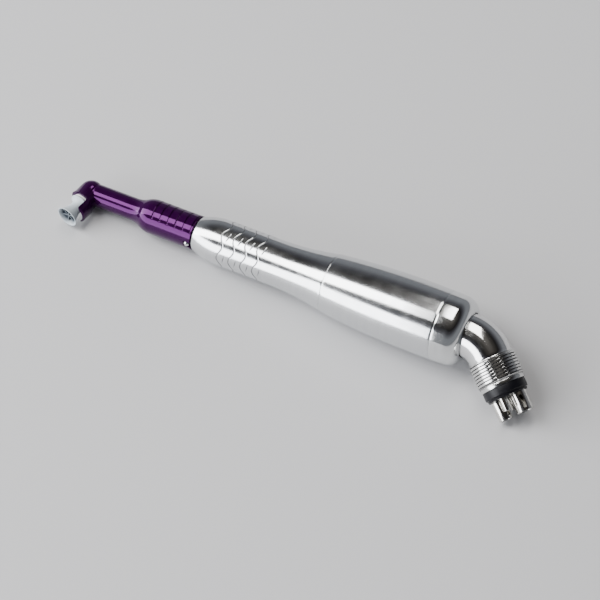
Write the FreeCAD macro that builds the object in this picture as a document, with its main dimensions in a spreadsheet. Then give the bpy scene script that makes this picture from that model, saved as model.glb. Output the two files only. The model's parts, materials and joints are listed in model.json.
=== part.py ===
import FreeCAD, Part
import math
import os
import re

import Sketcher
from FreeCAD import Placement, Rotation, Vector

# Air-driven hygiene handpiece with a push-on angle head.  Every piece is modelled along X, the
# handpiece's long axis: x = 0 where the cup's axis crosses it, and +X runs to the hose connector.
# Millimetres and degrees.
sizes = {
    # how it lies on the bench
    "lie_roll": 36.112, "lie_tilt": 3.689,
    # angle head
    "head_lean": 10, "head_turn": 40.7, "head_r": 3.3, "head_front": 4.0, "head_bore_r": 2.45,
    "guard_start": 2.2, "guard_end": 7.4, "guard_r": 3.7, "guard_bore_r": 3.15, "pivot_r": 0.45,
    "pivot_deep": 0.4, "dome_floor": 2.2,
    "neck_r": 2.92, "neck_end": 12.7, "flare_end": 19.1, "angle_r": 4.5, "angle_end": 31.2,
    "neck_bore_r": 2.42, "socket_start": 16.5, "socket_r": 3.2,
    "grip_first": 19.6, "grip_pitch": 2.2, "grip_depth": 0.24, "grip_width": 0.42,
    # bevel pair and cup
    "bevel_module": 0.4, "bevel_teeth": 10, "bevel_front": 0.98, "bevel_back": 2.45,
    "gear_pressure": 25, "gear_add": 0.9, "gear_ded": 1.15, "gear_thin": 0.03,
    "retainer_start": 2.75, "retainer_end": 3.9, "cup_shaft_r": 1.2, "cup_flange_r": 1.8,
    "cup_start": 4.25, "cup_stem_r": 0.95, "cup_button_r": 1.2, "cup_base_r": 2.8, "cup_neck_r": 1.62,
    "cup_mouth": 9.7, "cup_mouth_r": 3.0, "cup_web": 0.3,
    # drive gear shaft
    "drive_collar_r": 2.36, "drive_shaft_r": 1.4, "drive_tail_r": 1.7, "drive_tail_end": 26.5,
    "dog_start": 23.4, "dog_slot": 0.9, "clip_start": 16.5, "clip_end": 18.1,
    # nose and front sleeve
    "nose_start": 19.8, "nose_r": 3.15, "nose_bore_r": 1.95, "nose_shoulder": 33.4,
    "tube_r": 4.5, "tube_end": 64.0, "key_x": 30.2, "key_r": 0.7, "key_turn": 50.3, "key_slot": 1.7,
    "sleeve_start": 31.6, "sleeve_r": 5.9, "sleeve_end": 69.2, "seam_r": 7.68, "spigot_start": 66.0,
    "spigot_r": 6.6, "spigot_bore_r": 5.65,
    "scale_first": 39.5, "scale_pitch": 3.35, "scale_rows": 4, "scale_count": 6,
    "scale_r": 4.2, "scale_depth": 0.26, "scale_run": 2.5, "scale_turn": -22,
    # ball bearings
    "race_r": 4.0, "race_land_r": 3.3, "inner_land_r": 2.1, "shaft_r": 1.4, "race_width": 2.5,
    "ball_pitch_r": 2.7, "ball_r": 0.75, "groove_r": 0.8, "ball_count": 8,
    "spindle_bearing_x": 62.0, "front_bearing_x": 76.2, "rear_bearing_x": 95.25,
    # spindle and planet gears
    "spindle_r": 1.15, "spindle_start": 26.9, "tongue_start": 23.8, "tongue_wide": 2.4,
    "tongue_thick": 0.8, "bush_start": 28.5, "bush_end": 33.0, "bush_bore_r": 1.2,
    "carrier_start": 66.3, "carrier_end": 69.3, "carrier_r": 5.0, "pin_r": 0.6, "planet_bore_r": 0.64,
    "spur_module": 0.3, "sun_teeth": 12, "planet_teeth": 12, "ring_teeth": 36, "planet_orbit": 3.6,
    "planet_start": 70.1, "planet_end": 73.9, "sun_start": 69.6, "sun_end": 74.2,
    "ring_start": 70.0, "ring_end": 74.5, "ring_r": 6.4,
    # vane motor
    "motor_r": 7.0, "front_plate_start": 74.6, "front_plate_end": 78.6, "liner_bore_r": 5.8,
    "liner_offset": 0.75, "rotor_r": 4.95, "rotor_gap": 0.15, "rear_plate_start": 92.9,
    "rear_plate_end": 96.9, "shaft_end": 96.9, "plate_hole_r": 1.65, "vane_thick": 0.7,
    "slot_wide": 0.8, "slot_floor": 2.4, "vane_in": 2.5, "vane_out": 4.9, "port_r": 0.9,
    # housing and rear cap
    "housing_max_r": 9.05, "housing_max_x": 93.6, "housing_end": 99.75, "housing_end_r": 9.01,
    "cap_front": 97.35, "cap_end": 106.5, "cap_dish": 105.2, "cap_dish_r": 5.9,
    "swivel_bore_r": 3.85, "swivel_bore_start": 98.3,
    # swivel and elbow
    "journal_r": 3.8, "journal_start": 98.6, "journal_bore_r": 2.6, "elbow_face": 105.5,
    "elbow_r": 5.55, "elbow_bore_r": 4.2, "elbow_start": 106.2, "bend_r": 9.7, "bend_angle": 45,
    "clip_x": 99.3, "clip_wide": 0.5, "clip_in_r": 3.4, "clip_out_r": 4.3, "clip_floor_r": 3.3,
    "oring_r": 0.35, "oring_one": 101.5, "oring_two": 103.7, "oring_groove": 0.8,
    # hose connector, measured from the end of the bend
    "collar_start": 0.9, "collar_end": 8.1, "thread_r": 5.95, "thread_root_r": 5.5, "land_r": 5.7,
    "thread_pitch": 0.76, "thread_turns": 8, "gasket_end": 10.9, "gasket_r": 5.65,
    "exhaust_r": 2.15, "exhaust_off": 2.45, "exhaust_end": 15.9, "supply_r": 1.75,
    "supply_off": -2.85, "supply_end": 15.9, "small_r": 0.8, "small_off": 3.45, "small_shift": -0.7,
    "small_end": 14.2, "tube_wall": 0.32, "tube_step": 0.22, "tube_root": 2.0, "tube_slot_r": 0.4,
    "tube_slot_start": 11.9, "tube_slot_end": 15.0,
}

doc = FreeCAD.newDocument("Handpiece")
sheet = doc.addObject("Spreadsheet::Sheet", "Dims")
pieces = {}


def fill_sheet():
    for row, (name, value) in enumerate(sizes.items(), start=1):
        sheet.set(f"A{row}", name)
        sheet.set(f"B{row}", str(value))
        sheet.setAlias(f"B{row}", name)
    doc.recompute()


def bound(text):
    """An expression written in plain size names, turned into one that reads the sheet."""
    return re.sub(r"\b[a-z]\w*\b(?!\()", r"Dims.\g<0>", text)


def size(text):
    return float(sheet.evalExpression(bound(text)))


def tie(thing, **expressions):
    for name, text in expressions.items():
        thing.setExpression(name, bound(text))


def keep(name, thing, where=None):
    """Register a finished piece under its own name, with its place on the handpiece."""
    thing.Label = name
    pieces[name] = (thing, where or Placement())
    return thing


def along(x, turn=0):
    return Placement(Vector(x, 0, 0), Rotation(Vector(1, 0, 0), turn))


# ---- sketches and turned pieces ----

def new_body(name):
    return doc.addObject("PartDesign::Body", name + "_body")


def sketch_on(body, role, name, offset=None):
    sketch = body.newObject("Sketcher::SketchObject", name)
    plane = next(f for f in body.Origin.OriginFeatures if f.Role == role)
    sketch.AttachmentSupport = [(plane, "")]
    sketch.MapMode = "FlatFace"
    sketch.AttachmentOffset = offset or Placement()
    return sketch


def pin_point(sketch, geo, end, x, y):
    for kind, text in (("DistanceX", x), ("DistanceY", y)):
        index = sketch.addConstraint(Sketcher.Constraint(kind, -1, 1, geo, end, size(text)))
        sketch.setExpression(f"Constraints[{index}]", bound(text))


def add_arc(sketch, start, middle, end, corner):
    """An arc held by its two ends and one point on its way; returns its start and end marks."""
    geo = sketch.addGeometry(Part.Arc(start, middle, end), False)
    on_way = sketch.addGeometry(Part.Point(middle), True)
    sketch.addConstraint(Sketcher.Constraint("PointOnObject", on_way, 1, geo))
    pin_point(sketch, on_way, 1, corner[2], corner[3])
    left_turn = (middle - start).cross(end - middle).z > 0
    return (geo, 1, 2) if left_turn else (geo, 2, 1)


def outline(sketch, corners):
    """A closed outline. A corner is (x, y), or (x, y, x_way, y_way) when an arc leads to it."""
    spots = [Vector(size(corner[0]), size(corner[1]), 0) for corner in corners]
    edges = []
    for index, corner in enumerate(corners):
        start = spots[index - 1]
        end = spots[index]
        if len(corner) == 4:
            middle = Vector(size(corner[2]), size(corner[3]), 0)
            edges.append(add_arc(sketch, start, middle, end, corner))
        else:
            edges.append((sketch.addGeometry(Part.LineSegment(start, end), False), 1, 2))
        pin_point(sketch, edges[-1][0], edges[-1][2], corner[0], corner[1])
    for index, (geo, first, last) in enumerate(edges):
        before = edges[index - 1]
        sketch.addConstraint(Sketcher.Constraint("Coincident", before[0], before[2], geo, first))


def turn(body, corners, name="Turned", offset=None, kind="Revolution"):
    """Revolve an outline of (x, radius) corners about the body's X axis."""
    sketch = sketch_on(body, "XY_Plane", name + "Outline", offset)
    outline(sketch, corners)
    feature = body.newObject("PartDesign::" + kind, name)
    feature.Profile = sketch
    feature.ReferenceAxis = (sketch, ["H_Axis"])
    feature.Angle = 360
    return feature


def turned(name, corners, where=None, registered=True):
    body = new_body(name)
    turn(body, corners)
    return keep(name, body, where) if registered else body


def ring_corners(x_start, x_end, inner, outer):
    return [(x_start, inner), (x_end, inner), (x_end, outer), (x_start, outer)]


def disc_corners(stations):
    """Corners of a solid of revolution from (x, radius) stations, closed along the axis."""
    return [(stations[0][0], "0")] + stations + [(stations[-1][0], "0")]


def circle_sketch(body, x_at, circles, name):
    sketch = sketch_on(body, "YZ_Plane", name, Placement(Vector(0, 0, size(x_at)), Rotation()))
    tie(sketch, **{"AttachmentOffset.Base.z": x_at})
    for y, z, radius in circles:
        centre = Vector(size(y), size(z), 0)
        geo = sketch.addGeometry(Part.Circle(centre, Vector(0, 0, 1), size(radius)), False)
        pin_point(sketch, geo, 3, y, z)
        index = sketch.addConstraint(Sketcher.Constraint("Radius", geo, size(radius)))
        sketch.setExpression(f"Constraints[{index}]", bound(radius))
    return sketch


def bore(body, x_mouth, depth, circles, name="Bores"):
    """Straight holes along X, from the mouth back towards -X."""
    before = solid_volume(body)
    pocket = body.newObject("PartDesign::Pocket", name)
    pocket.Profile = circle_sketch(body, x_mouth, circles, name + "Layout")
    tie(pocket, Length=depth)
    doc.recompute()
    if solid_volume(body) > before - 1e-3:
        raise RuntimeError(f"{body.Name}: {name} cuts nothing")


def solid_volume(thing):
    doc.recompute()
    return thing.Shape.Volume


def cylinder(radius, start, end, where):
    """A plain cylinder along the placement's X axis."""
    rod = doc.addObject("Part::Cylinder", "Rod")
    tie(rod, Radius=radius, Height=f"{end} - ({start})")
    to_x = Placement(Vector(size(start), 0, 0), Rotation(Vector(0, 1, 0), 90))
    rod.Placement = where.multiply(to_x)
    return rod


def box(length, width, height, corner, where=None):
    block = doc.addObject("Part::Box", "Block")
    tie(block, Length=length, Width=width, Height=height)
    block.Placement = (where or Placement()).multiply(Placement(Vector(*map(size, corner)), Rotation()))
    return block


def joined(name, things):
    union = doc.addObject("Part::MultiFuse", name + "_union")
    union.Shapes = things
    return union


def cut(name, base, tool):
    rest = doc.addObject("Part::Cut", name + "_cut")
    rest.Base = base
    rest.Tool = tool
    return rest


def overlap_of(name, first, second):
    common = doc.addObject("Part::Common", name + "_common")
    common.Base = first
    common.Tool = second
    return common


def o_ring(x_at, ring_r, section_r, where=None):
    torus = doc.addObject("Part::Torus", "Ring")
    tie(torus, Radius1=ring_r, Radius2=section_r)
    to_x = Placement(Vector(size(x_at), 0, 0), Rotation(Vector(0, 1, 0), 90))
    torus.Placement = (where or Placement()).multiply(to_x)
    return torus


def solid_feature(name, shape, where=None):
    thing = doc.addObject("Part::Feature", name + "_shape")
    thing.Shape = shape
    if where:
        thing.Placement = where
    return thing


# ---- gear teeth ----

def involute(angle):
    return math.tan(angle) - angle


def tooth_side(pitch_r, half_tooth, tip_r, root_r):
    """Polar points (radius, angle from the tooth's middle) up one involute flank."""
    base_r = pitch_r * math.cos(math.radians(sizes["gear_pressure"]))
    at_base = half_tooth + involute(math.radians(sizes["gear_pressure"]))
    start_r = max(base_r, root_r)
    steps = 5
    radii = [start_r + (tip_r - start_r) * k / steps for k in range(steps + 1)]
    side = [(r, at_base - involute(math.acos(min(1, base_r / r)))) for r in radii]
    if root_r < base_r:
        side.insert(0, (root_r, side[0][1]))
    return side


def gear_polar(teeth, side, phase):
    """The whole gear outline as (radius, angle) points, one tooth centred on the phase angle."""
    points = []
    for tooth in range(teeth):
        middle = math.radians(phase) + 2 * math.pi * tooth / teeth
        points += [(r, middle - a) for r, a in side]
        points += [(r, middle + a) for r, a in reversed(side)]
    return points


def spur_outline(teeth, phase, internal=False):
    module = sizes["spur_module"]
    above = sizes["gear_ded"] if internal else sizes["gear_add"]
    below = sizes["gear_add"] if internal else sizes["gear_ded"]
    thin = -sizes["gear_thin"] if internal else sizes["gear_thin"]
    pitch_r = module * teeth / 2
    half = math.pi / (2 * teeth) - thin / 2 / pitch_r
    side = tooth_side(pitch_r, half, pitch_r + above * module, pitch_r - below * module)
    return gear_polar(teeth, side, phase)


def prism(polar, x_start, x_end):
    corners = [Vector(x_start, r * math.cos(a), r * math.sin(a)) for r, a in polar]
    face = Part.Face(Part.makePolygon(corners + corners[:1]))
    return face.extrude(Vector(x_end - x_start, 0, 0))


def bevel_rays(cone):
    """Tooth outline as rays from the pitch apex: (tangent of the ray's angle, azimuth)."""
    module = sizes["bevel_module"]
    teeth = sizes["bevel_teeth"]
    pitch_r = module * teeth / 2
    slant_r = pitch_r / math.cos(cone)
    half = module * math.pi / 4 / slant_r - sizes["gear_thin"] / 2 / slant_r
    tip_r = slant_r + sizes["gear_add"] * module
    root_r = slant_r - sizes["gear_ded"] * module
    apex = pitch_r / math.sin(cone) / math.cos(cone)
    rays = []
    for r, a in tooth_side(slant_r, half, tip_r, root_r):
        rays.append((r * math.cos(cone) / (apex - r * math.sin(cone)), a / math.cos(cone)))
    return rays


def straight_pyramid(polar, x_near, x_far):
    """A pyramid with its apex at the origin, cut off at two planes across X."""
    def section(x):
        return [Vector(x, x * t * math.cos(a), x * t * math.sin(a)) for t, a in polar]
    near = section(x_near)
    far = section(x_far)
    faces = [Part.Face(Part.makePolygon(near + near[:1])), Part.Face(Part.makePolygon(far + far[:1]))]
    for k in range(len(near)):
        quad = [near[k - 1], near[k], far[k], far[k - 1], near[k - 1]]
        faces.append(Part.Face(Part.makePolygon(quad)))
    return Part.Solid(Part.Shell(faces))


def bevel_gear(phase):
    """A straight bevel gear about X, its pitch cone's apex at the origin."""
    cone = math.radians((90 + sizes["head_lean"]) / 2)
    pitch_r = sizes["bevel_module"] * sizes["bevel_teeth"] / 2
    teeth = straight_pyramid(gear_polar(sizes["bevel_teeth"], bevel_rays(cone), phase), 0.5, 3.6)
    pitch_x = pitch_r / math.tan(cone)
    back_x = sizes["bevel_back"]
    back_r = pitch_r - (back_x - pitch_x) / math.tan(cone)
    tip_x = pitch_x - 0.5
    tip_r = pitch_r + 0.5 / math.tan(cone)
    front_x = sizes["bevel_front"]
    profile = [(front_x, 0), (front_x, tip_r), (tip_x, tip_r), (back_x, back_r), (back_x, 0)]
    corners = [Vector(x, r, 0) for x, r in profile]
    blank = Part.Face(Part.makePolygon(corners + corners[:1]))
    blank = blank.revolve(Vector(0, 0, 0), Vector(1, 0, 0), 360)
    return teeth.common(blank)


# ---- where the head and the connector sit ----

def head_place():
    lean = Rotation(Vector(0, 0, 1), -(90 + sizes["head_lean"]))
    return Placement(Vector(), Rotation(Vector(1, 0, 0), -sizes["head_turn"]).multiply(lean))


def connector_place():
    bend = math.radians(sizes["bend_angle"])
    x = sizes["elbow_start"] + sizes["bend_r"] * math.sin(bend)
    y = -sizes["bend_r"] * (1 - math.cos(bend))
    return Placement(Vector(x, y, 0), Rotation(Vector(0, 0, 1), -sizes["bend_angle"]))


# ---- angle head ----

def build_angle_housing():
    """One moulding: body, flared neck and head shell with its half-round guard."""
    body = turned("angle_outer", [
        ("0", "0"), ("0", "neck_r"), ("neck_end", "neck_r"),
        ("neck_end + 3.1", "3.72", "neck_end + 1.7", "3.16"),
        ("flare_end", "angle_r", "neck_end + 4.7", "4.36"),
        ("angle_end - 0.25", "angle_r"), ("angle_end", "angle_r - 0.25"), ("angle_end", "0"),
    ], registered=False)
    head = turned("head_outer", [
        ("-head_r", "0"), ("0", "head_r", "-head_r*sqrt(0.5)", "head_r*sqrt(0.5)"),
        ("head_front - 0.7", "head_r"), ("head_front", "guard_r"), ("guard_end - 0.3", "guard_r"),
        ("guard_end", "guard_r - 0.3"), ("guard_end", "0"),
    ], registered=False)
    head.Placement = head_place()
    inside = turned("angle_bore", [
        ("0", "0"), ("0", "neck_bore_r"), ("socket_start", "neck_bore_r"),
        ("socket_start", "socket_r"), ("angle_end + 1", "socket_r"), ("angle_end + 1", "0"),
    ], registered=False)
    head_inside = turned("head_bore", disc_corners([
        ("pivot_deep - head_r", "pivot_r + 0.05"), ("-dome_floor", "pivot_r + 0.05"),
        ("-dome_floor", "1.5"), ("-1.3", "head_bore_r"), ("retainer_end + 0.05", "head_bore_r"),
        ("retainer_end + 0.05", "guard_bore_r"), ("guard_end + 1", "guard_bore_r"),
    ]), registered=False)
    head_inside.Placement = head_place()
    front = box("guard_end", "guard_r + 1 + guard_start", "2*guard_r + 2",
                ("head_front", "-guard_r - 1", "-guard_r - 1"), head_place())
    slot = box("angle_end - key_x + key_slot", "key_slot", "3",
               ("key_x - key_slot/2", "-key_slot/2", "socket_r - 0.6"), key_place())
    shell = joined("angle_shell", [body, head])
    tools = joined("angle_hollows", [inside, head_inside, front, slot] + grip_grooves())
    keep("angle_housing", cut("angle_housing", shell, tools))


def grip_grooves():
    """Shallow grooves across the back of the body, each nearly half of the way round."""
    grooves = []
    for index in range(6):
        x = f"grip_first + {index}*grip_pitch"
        body = new_body("grip_groove")
        feature = turn(body, ring_corners(x, f"{x} + grip_width", "angle_r - grip_depth", "angle_r + 1"))
        feature.Midplane = True
        feature.Angle = 176
        grooves.append(body)
    return grooves


def key_place():
    return Placement(Vector(), Rotation(Vector(1, 0, 0), sizes["key_turn"]))


def build_drive_gear():
    gear = solid_feature("drive_bevel", bevel_gear(180 - sizes["head_turn"]))
    shaft = turned("drive_stem", disc_corners([
        ("bevel_back - 0.3", "drive_shaft_r - 0.1"), ("4.4", "drive_shaft_r - 0.1"),
        ("4.4", "drive_collar_r"), ("6.2", "drive_collar_r"), ("6.2", "drive_shaft_r"),
        ("11.2", "drive_shaft_r"), ("11.2", "drive_collar_r"), ("13.0", "drive_collar_r"),
        ("13.0", "drive_tail_r"), ("drive_tail_end", "drive_tail_r"),
    ]), registered=False)
    slot = box("drive_tail_end", "2*drive_tail_r + 1", "dog_slot",
               ("dog_start", "-drive_tail_r - 0.5", "-dog_slot/2"))
    union = joined("drive_gear", [gear, shaft])
    keep("angle_drive_gear", cut("angle_drive_gear", union, slot))
    turned("drive_shaft_clip", ring_corners("clip_start", "clip_end", "drive_tail_r + 0.05", "socket_r"))


def build_cup_rotor():
    gear = solid_feature("cup_bevel", bevel_gear(180 / sizes["bevel_teeth"]))
    shaft = turned("cup_stem", disc_corners([
        ("pivot_deep + 0.1 - head_r", "pivot_r"), ("bevel_front + 0.2", "pivot_r"),
        ("bevel_back - 0.4", "pivot_r"), ("bevel_back - 0.4", "cup_shaft_r"),
        ("head_front + 0.1", "cup_shaft_r"), ("head_front + 0.1", "cup_flange_r"),
        ("cup_start", "cup_flange_r"), ("cup_start", "cup_stem_r"), ("6.6", "cup_stem_r"),
        ("6.6", "cup_button_r"), ("7.5", "cup_button_r - 0.35"),
    ]), registered=False)
    keep("cup_rotor", joined("cup_rotor", [gear, shaft]), head_place())
    turned("head_retainer", ring_corners("retainer_start", "retainer_end",
                                         "cup_shaft_r + 0.05", "head_bore_r"), head_place())


def build_cup():
    """Hourglass elastomer cup with three webs across its mouth."""
    bell = turned("cup_bell", [
        ("cup_start", "cup_stem_r"), ("6.6", "cup_stem_r"), ("6.6", "cup_button_r"),
        ("7.5", "cup_button_r - 0.35"), ("7.5", "0"), ("7.75", "0"), ("7.75", "1.3"),
        ("cup_mouth", "cup_mouth_r - 0.36", "8.9", "2.12"), ("cup_mouth", "cup_mouth_r"),
        ("6.3", "cup_neck_r", "8.3", "2.15"),
        ("cup_start + 0.3", "cup_base_r", "5.1", "1.95"), ("cup_start", "cup_base_r"),
    ], registered=False)
    hollow = turned("cup_hollow", [
        ("7.6", "0"), ("7.6", "1.35"), ("cup_mouth - 0.35", "cup_mouth_r - 0.45"),
        ("cup_mouth - 0.35", "0"),
    ], registered=False)
    webs = [box("3", "2*cup_mouth_r", "cup_web", ("7.6", "-cup_mouth_r", "-cup_web/2"), along(0, 60 * k))
            for k in range(3)]
    inside = overlap_of("cup_webs", hollow, joined("cup_web_cross", webs))
    keep("prophy_cup", joined("prophy_cup", [bell, inside]), head_place())


# ---- nose, front sleeve and spindle ----

def build_nose():
    body = turned("nose_tube", [
        ("nose_start", "nose_bore_r"), ("nose_start", "nose_r - 0.4"), ("nose_start + 0.5", "nose_r"),
        ("21.6", "nose_r"), ("21.6", "nose_r - 0.72"), ("22.4", "nose_r - 0.72"), ("22.4", "nose_r"),
        ("nose_shoulder", "nose_r"), ("nose_shoulder", "tube_r"), ("tube_end", "tube_r"),
        ("tube_end", "race_r"), ("spindle_bearing_x - race_width/2", "race_r"),
        ("spindle_bearing_x - race_width/2", "nose_bore_r"),
    ], registered=False)
    hole = cylinder("key_r", "nose_r - 0.75", "nose_r + 1", key_mark())
    keep("nose_cone", cut("nose_cone", body, hole))
    turned("index_key", [
        ("nose_r - 0.75", "0"), ("nose_r - 0.75", "key_r"), ("angle_r - 0.15", "key_r"),
        ("angle_r + 0.1", "key_r - 0.25"), ("angle_r + 0.1", "0"),
    ], key_mark())
    keep("nose_o_ring", o_ring("22.0", "nose_r + 0.02 - oring_r", "oring_r"))
    turned("spindle_bush", ring_corners("bush_start", "bush_end", "bush_bore_r", "nose_bore_r"))


def key_mark():
    """The key's own axis: out from the nose, a little to the side that faces up."""
    out = Rotation(Vector(0, 1, 0), -90)
    return Placement(Vector(sizes["key_x"], 0, 0), key_place().Rotation.multiply(out))


def build_front_sleeve():
    body = turned("sleeve_outer", [
        ("sleeve_start", "nose_r + 0.1"), ("sleeve_start", "4.45"),
        ("sleeve_start + 7.2", "sleeve_r", "sleeve_start + 2.7", "5.38"),
        ("53", "sleeve_r"), ("sleeve_end", "seam_r", "61.1", "6.38"), ("sleeve_end", "spigot_r"),
        ("spigot_start", "spigot_r"), ("spigot_start", "spigot_bore_r"),
        ("tube_end", "spigot_bore_r"), ("tube_end", "tube_r"), ("nose_shoulder", "tube_r"),
        ("nose_shoulder", "nose_r + 0.1"),
    ], registered=False)
    rows = [scale_row(f"scale_first + {k}*scale_pitch") for k in range(sizes["scale_rows"])]
    keep("front_sleeve", cut("front_sleeve", body, joined("grip_scales", rows)))


def scale_row(x):
    """One ring of grip scales: round-fronted hollows, deepest at the front, fading to the rear."""
    ramp = turned("scale_ramp", [
        (f"{x} - 0.3", "sleeve_r - scale_depth"), (f"{x} + scale_run", "sleeve_r + 0.02"),
        (f"{x} + scale_run", "sleeve_r + 0.6"), (f"{x} - 0.3", "sleeve_r + 0.6"),
    ], registered=False)
    step = 360 / sizes["scale_count"]
    out = Rotation(Vector(0, 1, 0), -90)
    rounds = []
    for k in range(sizes["scale_count"]):
        around = Rotation(Vector(1, 0, 0), k * step + sizes["scale_turn"])
        spot = Placement(Vector(size(f"{x} + scale_r"), 0, 0), around.multiply(out))
        rounds.append(cylinder("scale_r", "tube_r", "sleeve_r + 1", spot))
    return overlap_of("scale_row", ramp, joined("scale_rounds", rounds))


def build_spindle():
    shaft = new_body("spindle_shaft")
    turn(shaft, disc_corners([
        ("spindle_start", "spindle_r"), ("spindle_bearing_x - 1.4", "spindle_r"),
        ("spindle_bearing_x - 1.4", "shaft_r"), ("spindle_bearing_x + 1.3", "shaft_r"),
        ("spindle_bearing_x + 1.3", "shaft_r + 0.4"), ("carrier_start", "shaft_r + 0.4"),
        ("carrier_start", "carrier_r"), ("carrier_end", "carrier_r"),
    ]))
    bore(shaft, "carrier_end", "2.4", [planet_spot(k) + ("pin_r",) for k in range(3)])
    tongue = box("spindle_start - tongue_start + 0.4", "tongue_wide", "tongue_thick",
                 ("tongue_start", "-tongue_wide/2", "-tongue_thick/2"))
    keep("output_spindle", joined("output_spindle", [shaft, tongue]))
    pins = [cylinder("pin_r", "carrier_end - 2.4", "planet_end + 0.3", planet_place(k)) for k in range(3)]
    keep("planet_pins", joined("planet_pins", pins))


def planet_angle(k):
    return math.radians(90 + 120 * k)


def planet_spot(k):
    turn_to = planet_angle(k)
    return (f"planet_orbit*({math.cos(turn_to):.6f})", f"planet_orbit*({math.sin(turn_to):.6f})")


def planet_place(k):
    orbit = sizes["planet_orbit"]
    turn_to = planet_angle(k)
    return Placement(Vector(0, orbit * math.cos(turn_to), orbit * math.sin(turn_to)), Rotation())


def build_gears():
    x_start = sizes["planet_start"]
    x_end = sizes["planet_end"]
    hole = Part.makeCylinder(sizes["planet_bore_r"], 20, Vector(x_start - 5, 0, 0), Vector(1, 0, 0))
    half_tooth = 180 / sizes["planet_teeth"]
    planet = prism(spur_outline(sizes["planet_teeth"], half_tooth), x_start, x_end).cut(hole)
    for k in range(3):
        keep(f"planet_gear_{k + 1}", solid_feature(f"planet_gear_{k + 1}", planet.copy()), planet_place(k))
    ring_start = sizes["ring_start"]
    ring_end = sizes["ring_end"]
    length = ring_end - ring_start
    blank = Part.makeCylinder(sizes["ring_r"], length, Vector(ring_start, 0, 0), Vector(1, 0, 0))
    hollow = prism(spur_outline(sizes["ring_teeth"], 5, internal=True), ring_start - 1, ring_end + 1)
    keep("ring_gear", solid_feature("ring_gear", blank.cut(hollow)))


def build_bearing(name, x_name):
    outer_mid = f"{x_name}"
    half = "race_width/2"
    lip = "sqrt(groove_r*groove_r - (race_land_r - ball_pitch_r)*(race_land_r - ball_pitch_r))"
    turned(f"{name}_outer_race", [
        (f"{x_name} - {half}", "race_r"), (f"{x_name} - {half}", "race_land_r"),
        (f"{x_name} - {lip}", "race_land_r"),
        (f"{x_name} + {lip}", "race_land_r", outer_mid, "ball_pitch_r + groove_r"),
        (f"{x_name} + {half}", "race_land_r"), (f"{x_name} + {half}", "race_r"),
    ])
    turned(f"{name}_inner_race", [
        (f"{x_name} - {half}", "shaft_r"), (f"{x_name} + {half}", "shaft_r"),
        (f"{x_name} + {half}", "inner_land_r"), (f"{x_name} + {lip}", "inner_land_r"),
        (f"{x_name} - {lip}", "inner_land_r", outer_mid, "ball_pitch_r - groove_r"),
        (f"{x_name} - {half}", "inner_land_r"),
    ])
    band = ring_corners(f"{x_name} - 0.3", f"{x_name} + 0.3", "ball_pitch_r - 0.22", "ball_pitch_r + 0.22")
    cage = turned(f"{name}_cage", band, registered=False)
    balls = [ball(x_name, k) for k in range(sizes["ball_count"])]
    keep(f"{name}_balls", joined(f"{name}_balls", [cage] + balls))


def ball(x_name, k):
    sphere = doc.addObject("Part::Sphere", "Ball")
    tie(sphere, Radius="ball_r")
    angle = 2 * math.pi * k / sizes["ball_count"]
    orbit = sizes["ball_pitch_r"]
    spot = Vector(sizes[x_name], orbit * math.cos(angle), orbit * math.sin(angle))
    sphere.Placement = Placement(spot, Rotation(Vector(0, 1, 0), 90))
    return sphere


# ---- vane motor ----

def build_motor():
    sun = solid_feature("sun_teeth", prism(spur_outline(sizes["sun_teeth"], 0),
                                           sizes["sun_start"], sizes["sun_end"]))
    shaft = turned("rotor_shaft", disc_corners([
        ("sun_end - 0.2", "shaft_r"), ("shaft_end - 0.3", "shaft_r"), ("shaft_end", "shaft_r - 0.3"),
    ]), registered=False)
    keep("sun_shaft", joined("sun_shaft", [sun, shaft]))
    rotor_start = "front_plate_end + rotor_gap"
    rotor_end = "rear_plate_start - rotor_gap"
    blank = turned("rotor_blank", ring_corners(rotor_start, rotor_end, "shaft_r", "rotor_r"),
                   registered=False)
    slots = [box("rear_plate_start - front_plate_end", "rotor_r", "slot_wide",
                 ("front_plate_end", "slot_floor", "-slot_wide/2"), vane_turn(k)) for k in range(4)]
    keep("motor_rotor", cut("motor_rotor", blank, joined("rotor_slots", slots)))
    vane_long = "rear_plate_start - front_plate_end - 2*rotor_gap - 0.1"
    vane_corner = ("front_plate_end + rotor_gap + 0.05", "vane_in", "-vane_thick/2")
    vanes = [box(vane_long, "vane_out - vane_in", "vane_thick", vane_corner, vane_turn(k))
             for k in range(4)]
    keep("motor_vanes", joined("motor_vanes", vanes))


def vane_turn(k):
    return along(0, 45 + 90 * k)


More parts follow.
